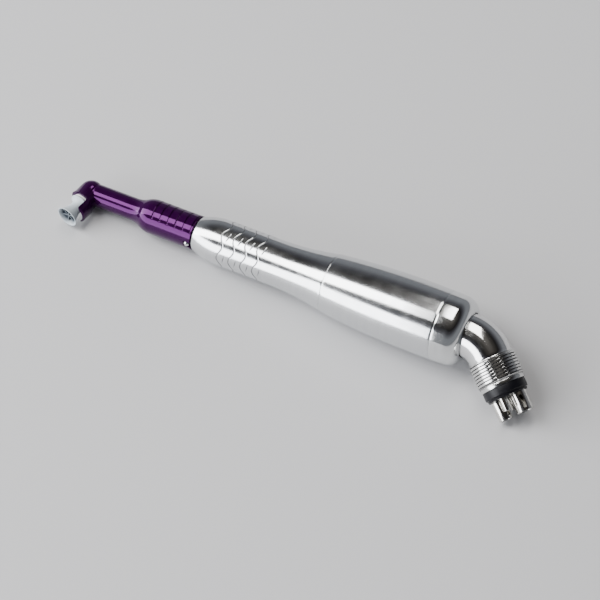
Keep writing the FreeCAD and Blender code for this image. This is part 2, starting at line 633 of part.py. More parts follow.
def build_motor_case():
    """Off-centre liner between two end plates that carry the bearings."""
    liner = new_body("liner")
    pad = liner.newObject("PartDesign::Pad", "Tube")
    pad.Profile = circle_sketch(liner, "front_plate_end", [("0", "0", "motor_r"),
                                                           ("-liner_offset", "0", "liner_bore_r")], "Rings")
    tie(pad, Length="rear_plate_start - front_plate_end")
    ports = [cylinder("port_r", "4.5", "motor_r + 1", port_place(x)) for x in (82.0, 85.7, 89.4)]
    keep("motor_liner", cut("motor_liner", liner, joined("liner_ports", ports)))
    turned("front_end_plate", [
        ("front_plate_start", "race_r"), ("front_plate_start", "motor_r"),
        ("front_plate_end", "motor_r"), ("front_plate_end", "plate_hole_r"),
        ("front_bearing_x + race_width/2", "plate_hole_r"), ("front_bearing_x + race_width/2", "race_r"),
    ])
    rear = new_body("rear_plate")
    turn(rear, [
        ("rear_plate_start", "plate_hole_r"), ("rear_plate_start", "motor_r"),
        ("rear_plate_end", "motor_r"), ("rear_plate_end", "race_r"),
        ("rear_bearing_x - race_width/2", "race_r"), ("rear_bearing_x - race_width/2", "plate_hole_r"),
    ])
    bore(rear, "rear_plate_end", "4.5", [("-5.4", "0", "port_r"), ("-3.8", "3.8", "port_r")])
    keep("rear_end_plate", rear)
    turned("bearing_spring", [
        ("rear_bearing_x + 1.27", "race_r - 0.12"), ("rear_bearing_x + 1.27", "race_r - 0.4"),
        ("cap_front - 0.22", "2.9"), ("cap_front", "2.9"), ("cap_front", "3.1"),
        ("rear_bearing_x + 1.5", "race_r - 0.12"),
    ])


def port_place(x):
    """Exhaust ports through the liner's thick side."""
    turned_out = Rotation(Vector(1, 0, 0), 60).multiply(Rotation(Vector(0, 0, 1), 90))
    return Placement(Vector(x, 0, 0), turned_out)


# ---- housing, rear cap and swivel ----

def build_housing():
    turned("motor_housing", [
        ("sleeve_end", "seam_r"),
        ("housing_max_x", "housing_max_r", "82.8", "8.77"),
        ("housing_end", "housing_end_r", "housing_max_x + 3", "housing_max_r - 0.01"),
        ("housing_end", "motor_r"), ("front_plate_start", "motor_r"), ("front_plate_start", "ring_r"),
        ("ring_start", "ring_r"), ("ring_start", "spigot_bore_r"), ("spigot_start", "spigot_bore_r"),
        ("spigot_start", "spigot_r"), ("67.1", "spigot_r"), ("67.1", "spigot_r - 0.72"),
        ("67.9", "spigot_r - 0.72"), ("67.9", "spigot_r"), ("sleeve_end", "spigot_r"),
    ])
    keep("housing_o_ring", o_ring("67.5", "spigot_r - oring_r", "oring_r"))
    turned("rear_cap", [
        ("cap_front", "2.6"), ("cap_front", "motor_r"), ("98.2", "motor_r"), ("98.2", "motor_r - 0.72"),
        ("99.0", "motor_r - 0.72"), ("99.0", "motor_r"), ("housing_end", "motor_r"),
        ("housing_end", "housing_end_r"), ("103.2", "8.86", "101.5", "8.96"),
        ("cap_end", "6.35", "105.4", "7.95"), ("cap_end", "cap_dish_r"), ("cap_dish", "cap_dish_r"),
        ("cap_dish", "swivel_bore_r"), ("clip_x + clip_wide", "swivel_bore_r"),
        ("clip_x + clip_wide", "clip_out_r"), ("clip_x", "clip_out_r"), ("clip_x", "swivel_bore_r"),
        ("swivel_bore_start", "swivel_bore_r"), ("swivel_bore_start", "2.6"),
    ])
    keep("cap_o_ring", o_ring("98.6", "motor_r - oring_r", "oring_r"))
    turned("swivel_clip", ring_corners("clip_x + 0.05", "clip_x + clip_wide - 0.05",
                                       "clip_in_r", "clip_out_r"))


def build_elbow():
    elbow = new_body("elbow")
    grooves = []
    for x in ("oring_one", "oring_two"):
        grooves += [(f"{x} - oring_groove/2", "journal_r"), (f"{x} - oring_groove/2", "journal_r - 0.72"),
                    (f"{x} + oring_groove/2", "journal_r - 0.72"), (f"{x} + oring_groove/2", "journal_r")]
    turn(elbow, [
        ("journal_start", "journal_bore_r"), ("journal_start", "journal_r - 0.2"),
        ("journal_start + 0.2", "journal_r"), ("clip_x", "journal_r"), ("clip_x", "clip_floor_r"),
        ("clip_x + clip_wide", "clip_floor_r"), ("clip_x + clip_wide", "journal_r"),
    ] + grooves + [
        ("elbow_face", "journal_r"), ("elbow_face", "elbow_r"), ("elbow_start", "elbow_r"),
        ("elbow_start", "journal_bore_r"),
    ], name="Journal")
    bend_section = circle_sketch(elbow, "elbow_start", [("0", "0", "elbow_r"), ("0", "0", "elbow_bore_r")],
                                 "BendSection")
    hinge = bend_section.addGeometry(Part.LineSegment(Vector(-sizes["bend_r"], 5, 0),
                                                      Vector(-sizes["bend_r"], -5, 0)), True)
    pin_point(bend_section, hinge, 1, "-bend_r", "5")
    pin_point(bend_section, hinge, 2, "-bend_r", "-5")
    bend = elbow.newObject("PartDesign::Revolution", "Bend")
    bend.Profile = bend_section
    bend.ReferenceAxis = (bend_section, ["Axis0"])
    tie(bend, Angle="bend_angle")
    turn(elbow, ring_corners("0", "collar_start", "elbow_bore_r", "elbow_r"), name="Land",
         offset=connector_place())
    keep("swivel_elbow", elbow)
    rings = [o_ring(x, "journal_r + 0.02 - oring_r", "oring_r") for x in ("oring_one", "oring_two")]
    keep("swivel_o_rings", joined("swivel_o_rings", rings))


# ---- hose connector ----

def tube_circles():
    """The four press-fit holes that hold the thicker roots of the connector's tubes."""
    spots = [("exhaust_off", "0", "exhaust_r"), ("supply_off", "0", "supply_r"),
             ("small_shift", "small_off", "small_r"), ("small_shift", "-small_off", "small_r")]
    return [(y, z, f"{radius} + tube_step") for y, z, radius in spots]


def build_collar():
    ridges = []
    for k in range(sizes["thread_turns"]):
        x = f"collar_start + 0.15 + {k}*thread_pitch"
        ridges += [(f"{x}", "thread_root_r"), (f"{x} + 0.22", "thread_r"), (f"{x} + 0.5", "thread_r"),
                   (f"{x} + 0.72", "thread_root_r")]
    collar = new_body("collar")
    turn(collar, [("0.1", "0"), ("0.1", "elbow_bore_r"), ("collar_start", "elbow_bore_r"),
                  ("collar_start", "thread_root_r")] + ridges
         + [("collar_end - 1.0", "thread_root_r"), ("collar_end - 0.9", "land_r"),
            ("collar_end", "land_r"), ("collar_end", "0")])
    bore(collar, "collar_end", "12", tube_circles())
    keep("hose_collar", collar, connector_place())
    gasket = new_body("gasket")
    turn(gasket, disc_corners([
        ("collar_end", "gasket_r"), ("gasket_end - 0.75", "gasket_r"),
        ("gasket_end - 0.6", "gasket_r - 0.45"), ("gasket_end", "gasket_r - 0.6"),
    ]))
    bore(gasket, "gasket_end", "4", tube_circles())
    keep("connector_gasket", gasket, connector_place())


def build_tube(name, end, radius, y_off, z_off, slot_turn=None):
    tube = new_body(name)
    turn(tube, [("tube_root", f"{radius} - tube_wall"), ("tube_root", f"{radius} + tube_step"),
                ("gasket_end", f"{radius} + tube_step"), ("gasket_end", radius),
                (f"{end} - 0.15", radius), (end, f"{radius} - 0.15"), (end, f"{radius} - tube_wall")])
    if slot_turn is not None:
        cut_side_slot(tube)
    spin = Rotation(Vector(1, 0, 0), slot_turn or 0)
    where = connector_place().multiply(Placement(Vector(0, size(y_off), size(z_off)), spin))
    keep(name, tube, where)


def cut_side_slot(tube):
    """A long oval window through one wall, on the tube's +Z side."""
    before = solid_volume(tube)
    sketch = sketch_on(tube, "XY_Plane", "SlotOutline")
    near = "tube_slot_start + tube_slot_r"
    far = "tube_slot_end - tube_slot_r"
    outline(sketch, [
        (near, "-tube_slot_r", "tube_slot_start", "0"), (far, "-tube_slot_r"),
        (far, "tube_slot_r", "tube_slot_end", "0"), (near, "tube_slot_r"),
    ])
    pocket = tube.newObject("PartDesign::Pocket", "Slot")
    pocket.Profile = sketch
    pocket.Reversed = True
    pocket.Length = 5
    if solid_volume(tube) > before - 1e-3:
        raise RuntimeError("the tube's slot cuts nothing")


def build_connector():
    build_collar()
    build_tube("exhaust_tube", "exhaust_end", "exhaust_r", "exhaust_off", "0", -25)
    build_tube("drive_air_tube", "supply_end", "supply_r", "supply_off", "0", -60)
    build_tube("water_tube", "small_end", "small_r", "small_shift", "small_off")
    build_tube("chip_air_tube", "small_end", "small_r", "small_shift", "-small_off")


# ---- laying the handpiece on the bench, checking and writing ----

def lying():
    roll = Rotation(Vector(1, 0, 0), sizes["lie_roll"])
    return Placement(Vector(), Rotation(Vector(0, 1, 0), -sizes["lie_tilt"]).multiply(roll))


def overall_box(placed):
    total = FreeCAD.BoundBox()
    for shape in placed:
        total.add(shape.optimalBoundingBox(False, False))
    return total


def lay_down():
    """Give every piece its place: on its side, resting on the floor, centred over the origin."""
    doc.recompute()
    base = lying()
    placed = []
    for thing, where in pieces.values():
        shape = thing.Shape.copy()
        shape.Placement = base.multiply(where).multiply(thing.Placement)
        placed.append(shape)
    total = overall_box(placed)
    centre = Vector(-(total.XMin + total.XMax) / 2, -(total.YMin + total.YMax) / 2, -total.ZMin)
    frame = Placement(centre, Rotation()).multiply(base)
    for thing, where in pieces.values():
        thing.Placement = frame.multiply(where).multiply(thing.Placement)
    doc.recompute()
    return frame


def check():
    for thing in doc.Objects:
        if "Invalid" in thing.State or "Error" in thing.State:
            raise RuntimeError(f"{thing.Label} failed: {thing.State}")
    for name, (thing, _) in pieces.items():
        if thing.Shape.isNull() or not thing.Shape.isValid() or not thing.Shape.Solids:
            raise RuntimeError(f"{name} has no valid solid")


def write():
    os.makedirs("parts", exist_ok=True)
    for name, (thing, _) in pieces.items():
        thing.Shape.exportStep(f"parts/{name}.step")


def build():
    fill_sheet()
    build_angle_housing()
    build_drive_gear()
    build_cup_rotor()
    build_cup()
    build_nose()
    build_front_sleeve()
    build_spindle()
    build_gears()
    for name, x_name in (("spindle_bearing", "spindle_bearing_x"), ("front_bearing", "front_bearing_x"),
                         ("rear_bearing", "rear_bearing_x")):
        build_bearing(name, x_name)
    build_motor()
    build_motor_case()
    build_housing()
    build_elbow()
    build_connector()


build()
frame = lay_down()
check()
write()
print(len(pieces), "pieces; origin of the long axis at", frame.Base)
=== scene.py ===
import json
import math
import bmesh
import bpy
from mathutils import Matrix, Vector


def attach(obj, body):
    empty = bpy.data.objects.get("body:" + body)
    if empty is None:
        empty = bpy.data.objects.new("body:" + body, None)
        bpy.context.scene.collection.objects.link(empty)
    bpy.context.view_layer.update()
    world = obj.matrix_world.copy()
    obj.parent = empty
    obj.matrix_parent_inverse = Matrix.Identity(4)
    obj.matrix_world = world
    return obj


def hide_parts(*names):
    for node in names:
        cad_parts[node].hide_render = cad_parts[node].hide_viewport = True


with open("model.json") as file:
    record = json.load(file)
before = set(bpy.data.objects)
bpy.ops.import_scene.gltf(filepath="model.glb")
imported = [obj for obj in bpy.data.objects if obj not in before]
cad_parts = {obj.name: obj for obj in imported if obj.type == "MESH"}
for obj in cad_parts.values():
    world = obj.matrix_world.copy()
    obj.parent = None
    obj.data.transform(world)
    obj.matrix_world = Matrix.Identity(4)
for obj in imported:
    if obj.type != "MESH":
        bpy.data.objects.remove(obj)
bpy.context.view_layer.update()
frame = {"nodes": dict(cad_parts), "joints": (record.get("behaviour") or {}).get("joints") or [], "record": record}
print("frame loaded:", len(frame["nodes"]), "nodes")

mm = 0.001
near = 0.01  # millimetres: this close to a surface counts as on it
bumpHeight = 0.00002
joints = {joint["name"]: joint for joint in frame["joints"]}
mounts = {mount["name"]: mount for mount in frame["record"]["mounts"]}
scene = bpy.context.scene


# places on the handpiece: each has x along its own axis, in metres

def axesMatrix(origin, xAxis, yHint):
    xAxis = Vector(xAxis).normalized()
    yAxis = (Vector(yHint) - xAxis * xAxis.dot(Vector(yHint))).normalized()
    turn = Matrix((xAxis, yAxis, xAxis.cross(yAxis))).transposed().to_4x4()
    return Matrix.Translation(Vector(origin)) @ turn


longAxis = Vector(joints["swivel_turn"]["axis"])
hoseAxis = Vector(mounts["hose_thread"]["axis"])
headSpot = Vector(joints["cup_spin"]["pos_m"])
mainPlace = axesMatrix(headSpot, longAxis, longAxis * hoseAxis.dot(longAxis) - hoseAxis)
headPlace = axesMatrix(headSpot, joints["cup_spin"]["axis"], longAxis)
bend = {"start": 106.2, "radius": 9.7, "angle": 45}


# where the elbow's section sits after this much of its bend
def bendPlace(degrees):
    turn = math.radians(degrees)
    x = bend["start"] + bend["radius"] * math.sin(turn)
    y = -bend["radius"] * (1 - math.cos(turn))
    return Matrix.Translation((x * mm, y * mm, 0)) @ Matrix.Rotation(-turn, 4, "Z")


hosePlace = mainPlace @ bendPlace(bend["angle"])


# camera, floor and lights

view = {
    "lens": 150, "sensor": 36, "clipStart": 0.01, "clipEnd": 20,
    "alongX": (0.88738, -0.33766, 0.314), "elbowSide": (-0.319, -0.941, -0.111),
    "seam": 98.1, "seamSpot": (33.57, -5.71, -610),
}


def placeCamera():
    camera = bpy.data.objects.new("camera", bpy.data.cameras.new("camera"))
    scene.collection.objects.link(camera)
    camera.data.lens = view["lens"]
    camera.data.sensor_width = view["sensor"]
    camera.data.clip_start = view["clipStart"]
    camera.data.clip_end = view["clipEnd"]
    seen = axesMatrix((0, 0, 0), view["alongX"], -Vector(view["elbowSide"]))
    turn = mainPlace.to_3x3().to_4x4() @ seen.inverted()
    seam = mainPlace @ Vector((view["seam"] * mm, 0, 0))
    camera.matrix_world = Matrix.Translation(seam - turn @ (Vector(view["seamSpot"]) * mm)) @ turn
    scene.camera = camera
    back = turn.to_3x3() @ Vector((0, 0, 1))
    print("camera azimuth", round(math.degrees(math.atan2(back.x, -back.y)), 1),
          "elevation", round(math.degrees(math.asin(back.z)), 1))


def newMaterial(name):
    material = bpy.data.materials.new(name)
    material.use_nodes = True
    tree = material.node_tree
    return material, tree.nodes, tree.links, tree.nodes["Principled BSDF"]


studio = {
    "floor": (0.46, 0.46, 0.47, 1), "floorRoughness": 0.6, "floorSize": 3, "floorDrop": 0.00002,
    "sky": [(0.0, (0.26, 0.27, 0.29, 1)), (0.34, (0.24, 0.25, 0.27, 1)), (0.62, (0.07, 0.07, 0.08, 1)),
            (0.78, (0.015, 0.014, 0.014, 1)), (0.93, (0.06, 0.055, 0.05, 1)),
            (1.0, (0.13, 0.12, 0.11, 1))],
}


def makeFloor():
    mesh = bpy.data.meshes.new("floor")
    work = bmesh.new()
    bmesh.ops.create_grid(work, x_segments=1, y_segments=1, size=studio["floorSize"])
    work.to_mesh(mesh)
    work.free()
    floor = bpy.data.objects.new("floor", mesh)
    scene.collection.objects.link(floor)
    material, nodes, links, shader = newMaterial("paleFloor")
    shader.inputs["Base Color"].default_value = studio["floor"]
    shader.inputs["Roughness"].default_value = studio["floorRoughness"]
    mesh.materials.append(material)
    floor.location.z = -studio["floorDrop"]


def makeWorld():
    world = bpy.data.worlds.new("studio")
    scene.world = world
    world.use_nodes = True
    nodes = world.node_tree.nodes
    links = world.node_tree.links
    spot = nodes.new("ShaderNodeTexCoord")
    split = nodes.new("ShaderNodeSeparateXYZ")
    ramp = nodes.new("ShaderNodeValToRGB")
    links.new(spot.outputs["Generated"], split.inputs[0])
    links.new(split.outputs["Z"], ramp.inputs[0])
    links.new(ramp.outputs[0], nodes["Background"].inputs[0])
    stops = ramp.color_ramp.elements
    stops.remove(stops[1])
    for position, colour in studio["sky"]:
        stop = stops.new(position)
        stop.color = colour


# each is turned about the handpiece's long axis and leans towards the head end
softboxes = {
    "overCamera": {"around": -14, "lean": -0.68, "distance": 1.2, "size": (1.3, 0.60), "power": 30},
    "lowFront": {"around": 41, "lean": -0.68, "distance": 1.1, "size": (1.3, 0.70), "power": 26,
                 "colour": (0.95, 0.97, 1.0)},
    "rearPatch": {"around": -47, "lean": -0.02, "distance": 1.2, "size": (0.32, 0.9), "power": 8,
                  "colour": (1.0, 0.98, 0.95)},
}


def addSoftbox(name, around, lean, distance, size, power, colour=(1, 1, 1)):
    light = bpy.data.lights.new(name, "AREA")
    light.shape = "RECTANGLE"
    light.size, light.size_y = size
    light.energy = power
    light.color = colour
    lamp = bpy.data.objects.new(name, light)
    scene.collection.objects.link(lamp)
    toCamera = (scene.camera.location - mainPlace.to_translation()).normalized()
    above = (toCamera - longAxis * longAxis.dot(toCamera)).normalized()
    front = longAxis.cross(above)
    turn = math.radians(around)
    across = math.sqrt(1 - lean ** 2)
    out = longAxis * lean + (above * math.cos(turn) + front * math.sin(turn)) * across
    side = out.cross(longAxis)
    lamp.matrix_world = axesMatrix(out * distance, side.cross(out), side)


placeCamera()
makeFloor()
makeWorld()
for name, settings in softboxes.items():
    addSoftbox(name, **settings)
print("camera, floor and lights made")


# shared effects

def newGroup(name, inputs, outputs):
    group = bpy.data.node_groups.new(name, "ShaderNodeTree")
    for label, kind, value in inputs:
        socket = group.interface.new_socket(label, in_out="INPUT", socket_type=kind)
        if value is not None:
            socket.default_value = value
    for label, kind in outputs:
        group.interface.new_socket(label, in_out="OUTPUT", socket_type=kind)
    return group, group.nodes.new("NodeGroupInput"), group.nodes.new("NodeGroupOutput")


def mathNode(nodes, links, operation, first, second, third=None):
    node = nodes.new("ShaderNodeMath")
    node.operation = operation
    for index, value in enumerate((first, second, third)):
        if value is None:
            continue
        if isinstance(value, (int, float)):
            node.inputs[index].default_value = value
        else:
            links.new(value, node.inputs[index])
    return node.outputs[0]


def noiseNode(nodes, links, vector, scale, detail, roughness=0.5):
    noise = nodes.new("ShaderNodeTexNoise")
    links.new(vector, noise.inputs["Vector"])
    if isinstance(scale, (int, float)):
        noise.inputs["Scale"].default_value = scale
    else:
        links.new(scale, noise.inputs["Scale"])
    noise.inputs["Detail"].default_value = detail
    noise.inputs["Roughness"].default_value = roughness
    return noise.outputs[0]


lathe = {"squeeze": (1, 0.012, 0.012), "detail": 4, "roughness": 0.7, "bands": 0.9}


# fine rings left by the lathe; only the place along x counts
def turningLinesGroup():
    group, start, end = newGroup("turningLines", [
        ("Vector", "NodeSocketVector", None), ("Fineness", "NodeSocketFloat", 9.0),
    ], [("Lines", "NodeSocketFloat"), ("Bands", "NodeSocketFloat")])
    nodes = group.nodes
    links = group.links
    squeeze = nodes.new("ShaderNodeVectorMath")
    squeeze.operation = "MULTIPLY"
    squeeze.inputs[1].default_value = lathe["squeeze"]
    links.new(start.outputs["Vector"], squeeze.inputs[0])
    lines = noiseNode(nodes, links, squeeze.outputs[0], start.outputs["Fineness"], lathe["detail"],
                      lathe["roughness"])
    bands = noiseNode(nodes, links, squeeze.outputs[0], lathe["bands"], 2)
    links.new(lines, end.inputs["Lines"])
    links.new(bands, end.inputs["Bands"])
    return group


wear = {
    "smearsFrom": 0.42, "smearsTo": 0.68, "hairTurn": (0.3, 0.5, 0.9), "hairStretch": (0.22, 7, 7),
    "hairFineness": 1.4, "hairsFrom": 0.66, "hairsTo": 0.74,
}


# soft smears from hands and a few hair scratches
def handlingGroup():
    group, start, end = newGroup("handling", [
        ("Vector", "NodeSocketVector", None), ("Size", "NodeSocketFloat", 0.35),
    ], [("Smears", "NodeSocketFloat"), ("Scratches", "NodeSocketFloat")])
    nodes = group.nodes
    links = group.links
    smears = noiseNode(nodes, links, start.outputs["Vector"], start.outputs["Size"], 3, 0.55)
    spread = nodes.new("ShaderNodeMapRange")
    links.new(smears, spread.inputs["Value"])
    spread.inputs["From Min"].default_value = wear["smearsFrom"]
    spread.inputs["From Max"].default_value = wear["smearsTo"]
    links.new(spread.outputs[0], end.inputs["Smears"])
    slant = nodes.new("ShaderNodeMapping")
    links.new(start.outputs["Vector"], slant.inputs["Vector"])
    slant.inputs["Rotation"].default_value = wear["hairTurn"]
    slant.inputs["Scale"].default_value = wear["hairStretch"]
    hairs = noiseNode(nodes, links, slant.outputs[0], wear["hairFineness"], 2, 0.6)
    thin = nodes.new("ShaderNodeMapRange")
    links.new(hairs, thin.inputs["Value"])
    thin.inputs["From Min"].default_value = wear["hairsFrom"]
    thin.inputs["From Max"].default_value = wear["hairsTo"]
    links.new(thin.outputs[0], end.inputs["Scratches"])
    return group


# fine moulded or cast grain
def grainGroup():
    group, start, end = newGroup("grain", [
        ("Vector", "NodeSocketVector", None), ("Fineness", "NodeSocketFloat", 6.0),
    ], [("Grain", "NodeSocketFloat"), ("Clouds", "NodeSocketFloat")])
    nodes = group.nodes
    links = group.links
    grain = noiseNode(nodes, links, start.outputs["Vector"], start.outputs["Fineness"], 5, 0.65)
    clouds = noiseNode(nodes, links, start.outputs["Vector"], 0.5, 2)
    links.new(grain, end.inputs["Grain"])
    links.new(clouds, end.inputs["Clouds"])
    return group


groups = {"turningLines": turningLinesGroup(), "handling": handlingGroup(), "grain": grainGroup()}


# object coordinates turned into millimetres along and across a place's own axis
def placedVector(nodes, links, place):
    spot = nodes.new("ShaderNodeTexCoord")
    mapping = nodes.new("ShaderNodeMapping")
    mapping.vector_type = "TEXTURE"
    mapping.inputs["Location"].default_value = place.to_translation()
    mapping.inputs["Rotation"].default_value = place.to_euler()
    mapping.inputs["Scale"].default_value = (mm, mm, mm)
    links.new(spot.outputs["Object"], mapping.inputs["Vector"])
    return mapping.outputs[0]


def groupNode(nodes, links, name, vector, **values):
    node = nodes.new("ShaderNodeGroup")
    node.node_tree = groups[name]
    links.new(vector, node.inputs["Vector"])
    for label, value in values.items():
        node.inputs[label].default_value = value
    return node


def bumpNode(nodes, links, height, strength, distance=bumpHeight):
    bump = nodes.new("ShaderNodeBump")
    bump.inputs["Strength"].default_value = strength
    bump.inputs["Distance"].default_value = distance
    links.new(height, bump.inputs["Height"])
    return bump.outputs[0]


def mixColour(nodes, links, factor, low, high):
    mix = nodes.new("ShaderNodeMix")
    mix.data_type = "RGBA"
    links.new(factor, mix.inputs["Factor"])
    mix.inputs["A"].default_value = low + (1,)
    mix.inputs["B"].default_value = high + (1,)
    return mix.outputs["Result"]


def multiplyColour(nodes, links, first, second):
    mix = nodes.new("ShaderNodeMix")
    mix.data_type = "RGBA"
    mix.blend_type = "MULTIPLY"
    mix.inputs["Factor"].default_value = 1
    links.new(first, mix.inputs["A"])
    links.new(second, mix.inputs["B"])
    return mix.outputs["Result"]


# finishes

steels = {
    "sleeveSteel": {"place": mainPlace, "low": (0.60, 0.61, 0.62), "high": (0.70, 0.71, 0.72),
                    "roughness": 0.14, "lines": 0.07, "smears": 0.05, "fineness": 9, "bump": 0.10,
                    "grooveShadeStrength": 0.9},
    "housingSteel": {"place": mainPlace, "low": (0.60, 0.61, 0.62), "high": (0.70, 0.71, 0.72),
                     "roughness": 0.14, "lines": 0.07, "smears": 0.06, "fineness": 9, "bump": 0.12},
    "capSteel": {"place": mainPlace, "low": (0.66, 0.67, 0.67), "high": (0.75, 0.76, 0.76),
                 "roughness": 0.09, "lines": 0.05, "smears": 0.05, "fineness": 8, "bump": 0.08},
    "elbowSteel": {"place": hosePlace, "low": (0.66, 0.66, 0.66), "high": (0.74, 0.74, 0.74),
                   "roughness": 0.08, "lines": 0.02, "smears": 0.06, "fineness": 5, "bump": 0.03},
    "collarSteel": {"place": hosePlace, "low": (0.58, 0.58, 0.57), "high": (0.68, 0.68, 0.67),
                    "roughness": 0.16, "lines": 0.10, "smears": 0.05, "fineness": 12, "bump": 0.10,
                    "grooveShadeStrength": 0.95},
    "tubeSteel": {"place": hosePlace, "low": (0.66, 0.64, 0.60), "high": (0.76, 0.75, 0.72),
                  "roughness": 0.12, "lines": 0.08, "smears": 0.05, "fineness": 7, "bump": 0.08},
    "keySteel": {"place": mainPlace, "low": (0.74, 0.74, 0.74), "high": (0.82, 0.82, 0.82),
                 "roughness": 0.10, "lines": 0.04, "smears": 0.04, "fineness": 10, "bump": 0.05},
    "innerSteel": {"place": mainPlace, "low": (0.48, 0.48, 0.49), "high": (0.60, 0.60, 0.60),
                   "roughness": 0.22, "lines": 0.16, "smears": 0.08, "fineness": 6, "bump": 0.25},
    "gearSteel": {"place": mainPlace, "low": (0.42, 0.42, 0.43), "high": (0.54, 0.54, 0.55),
                  "roughness": 0.28, "lines": 0.12, "smears": 0.08, "fineness": 4, "bump": 0.2},
    "bearingSteel": {"place": mainPlace, "low": (0.68, 0.69, 0.71), "high": (0.76, 0.77, 0.79),
                     "roughness": 0.09, "lines": 0.05, "smears": 0.04, "fineness": 12, "bump": 0.05},
    "bronze": {"place": mainPlace, "low": (0.55, 0.36, 0.16), "high": (0.72, 0.50, 0.24),
               "roughness": 0.34, "lines": 0.10, "smears": 0.10, "fineness": 7, "bump": 0.3},
}


# cut lines are darkened towards tint as painted shade and get rougher; scratch scales the scratches' bump
cuts = {"tint": (0.07, 0.07, 0.08), "roughness": 0.3, "scratch": 0.4}


# painted shade: the mark kept on the points of a cut piece (1 at the bottom of a cut line, 0 outside) darkens the
# colour in the cut
def turnedMetal(name, place, low, high, roughness, lines, smears, fineness, bump, grooveShadeStrength=0):
    material, nodes, links, shader = newMaterial(name)
    vector = placedVector(nodes, links, place)
    turning = groupNode(nodes, links, "turningLines", vector, Fineness=fineness)
    handled = groupNode(nodes, links, "handling", vector)
    tint = mixColour(nodes, links, turning.outputs["Bands"], low, high)
    rough = mathNode(nodes, links, "MULTIPLY_ADD", turning.outputs["Lines"], lines, roughness - lines / 2)
    if grooveShadeStrength:
        grooveShade = nodes.new("ShaderNodeAttribute")
        grooveShade.attribute_name = "grooveShade"
        depth = mathNode(nodes, links, "MULTIPLY", grooveShade.outputs["Fac"], grooveShadeStrength)
        # painted shade in the cuts, towards the cuts' tint
        paintedGrooveShade = mixColour(nodes, links, depth, (1, 1, 1), cuts["tint"])
        tint = multiplyColour(nodes, links, tint, paintedGrooveShade)
        rough = mathNode(nodes, links, "MULTIPLY_ADD", depth, cuts["roughness"], rough)
    links.new(tint, shader.inputs["Base Color"])
    rough = mathNode(nodes, links, "MULTIPLY_ADD", handled.outputs["Smears"], smears, rough)
    rough = mathNode(nodes, links, "MULTIPLY_ADD", handled.outputs["Scratches"], smears, rough)
    links.new(rough, shader.inputs["Roughness"])
    height = mathNode(nodes, links, "MULTIPLY_ADD", handled.outputs["Scratches"], -cuts["scratch"],
                      turning.outputs["Lines"])
    links.new(bumpNode(nodes, links, height, bump), shader.inputs["Normal"])
    shader.inputs["Metallic"].default_value = 1.0
    return material


violet = {
    "low": (0.010, 0.0002, 0.014), "high": (0.020, 0.0004, 0.027), "fineness": 3.0, "smears": 0.05,
    "roughness": 0.07, "bump": 0.05, "bumpHeight": 0.00003, "bend": 1.46, "gleam": (0.85, 0.25, 1.0, 1),
}


# deep violet moulding, polished, with flow clouds in its tint
def violetPlastic():
    material, nodes, links, shader = newMaterial("violetPlastic")
    vector = placedVector(nodes, links, mainPlace)
    grain = groupNode(nodes, links, "grain", vector, Fineness=violet["fineness"])
    handled = groupNode(nodes, links, "handling", vector)
    tint = mixColour(nodes, links, grain.outputs["Clouds"], violet["low"], violet["high"])
    links.new(tint, shader.inputs["Base Color"])
    rough = mathNode(nodes, links, "MULTIPLY_ADD", handled.outputs["Smears"], violet["smears"],
                     violet["roughness"])
    links.new(rough, shader.inputs["Roughness"])
    height = bumpNode(nodes, links, grain.outputs["Grain"], violet["bump"], violet["bumpHeight"])
    links.new(height, shader.inputs["Normal"])
    shader.inputs["IOR"].default_value = violet["bend"]
    shader.inputs["Specular Tint"].default_value = violet["gleam"]
    return material


softReach = 0.0008
plastics = {
    "whitePlastic": {"low": (0.80, 0.80, 0.78), "high": (0.88, 0.88, 0.86), "roughness": 0.38,
                     "variation": 0.12, "fineness": 5, "bump": 0.2, "soft": 0.15},
    "blackRubber": {"low": (0.002, 0.002, 0.003), "high": (0.006, 0.006, 0.009), "roughness": 0.34,
                    "variation": 0.2, "fineness": 8, "bump": 0.35, "soft": 0.0, "shine": 0.22},
    "vaneComposite": {"low": (0.24, 0.14, 0.07), "high": (0.36, 0.23, 0.12), "roughness": 0.5,
                      "variation": 0.2, "fineness": 4, "bump": 0.4, "soft": 0.0},
}


def mouldedPlastic(name, low, high, roughness, variation, fineness, bump, soft, shine=0.5):
    material, nodes, links, shader = newMaterial(name)
    vector = placedVector(nodes, links, mainPlace)
    grain = groupNode(nodes, links, "grain", vector, Fineness=fineness)
    handled = groupNode(nodes, links, "handling", vector)
    links.new(mixColour(nodes, links, grain.outputs["Clouds"], low, high), shader.inputs["Base Color"])
    rough = mathNode(nodes, links, "MULTIPLY_ADD", grain.outputs["Grain"], variation,
                     roughness - variation / 2)
    rough = mathNode(nodes, links, "MULTIPLY_ADD", handled.outputs["Smears"], variation / 2, rough)
    links.new(rough, shader.inputs["Roughness"])
    links.new(bumpNode(nodes, links, grain.outputs["Grain"], bump), shader.inputs["Normal"])
    shader.inputs["Specular IOR Level"].default_value = shine
    shader.inputs["Subsurface Weight"].default_value = soft
    shader.inputs["Subsurface Radius"].default_value = (1, 1, 1)
    shader.inputs["Subsurface Scale"].default_value = softReach
    return material


# cup finish; inside is the colour of the painted shade in the cup's mouth
cupShade = {
    "low": (0.38, 0.43, 0.47), "high": (0.48, 0.53, 0.56), "inside": (0.07, 0.09, 0.12),
    "wall": (0.62, 1.65), "wallStart": 7.75, "soften": 0.18, "rim": 9.75, "fade": 1.0,
    "footRise": 5, "footLow": 0.3, "fineness": 7.0, "variation": 0.15, "roughness": 0.36, "bump": 0.25,
}
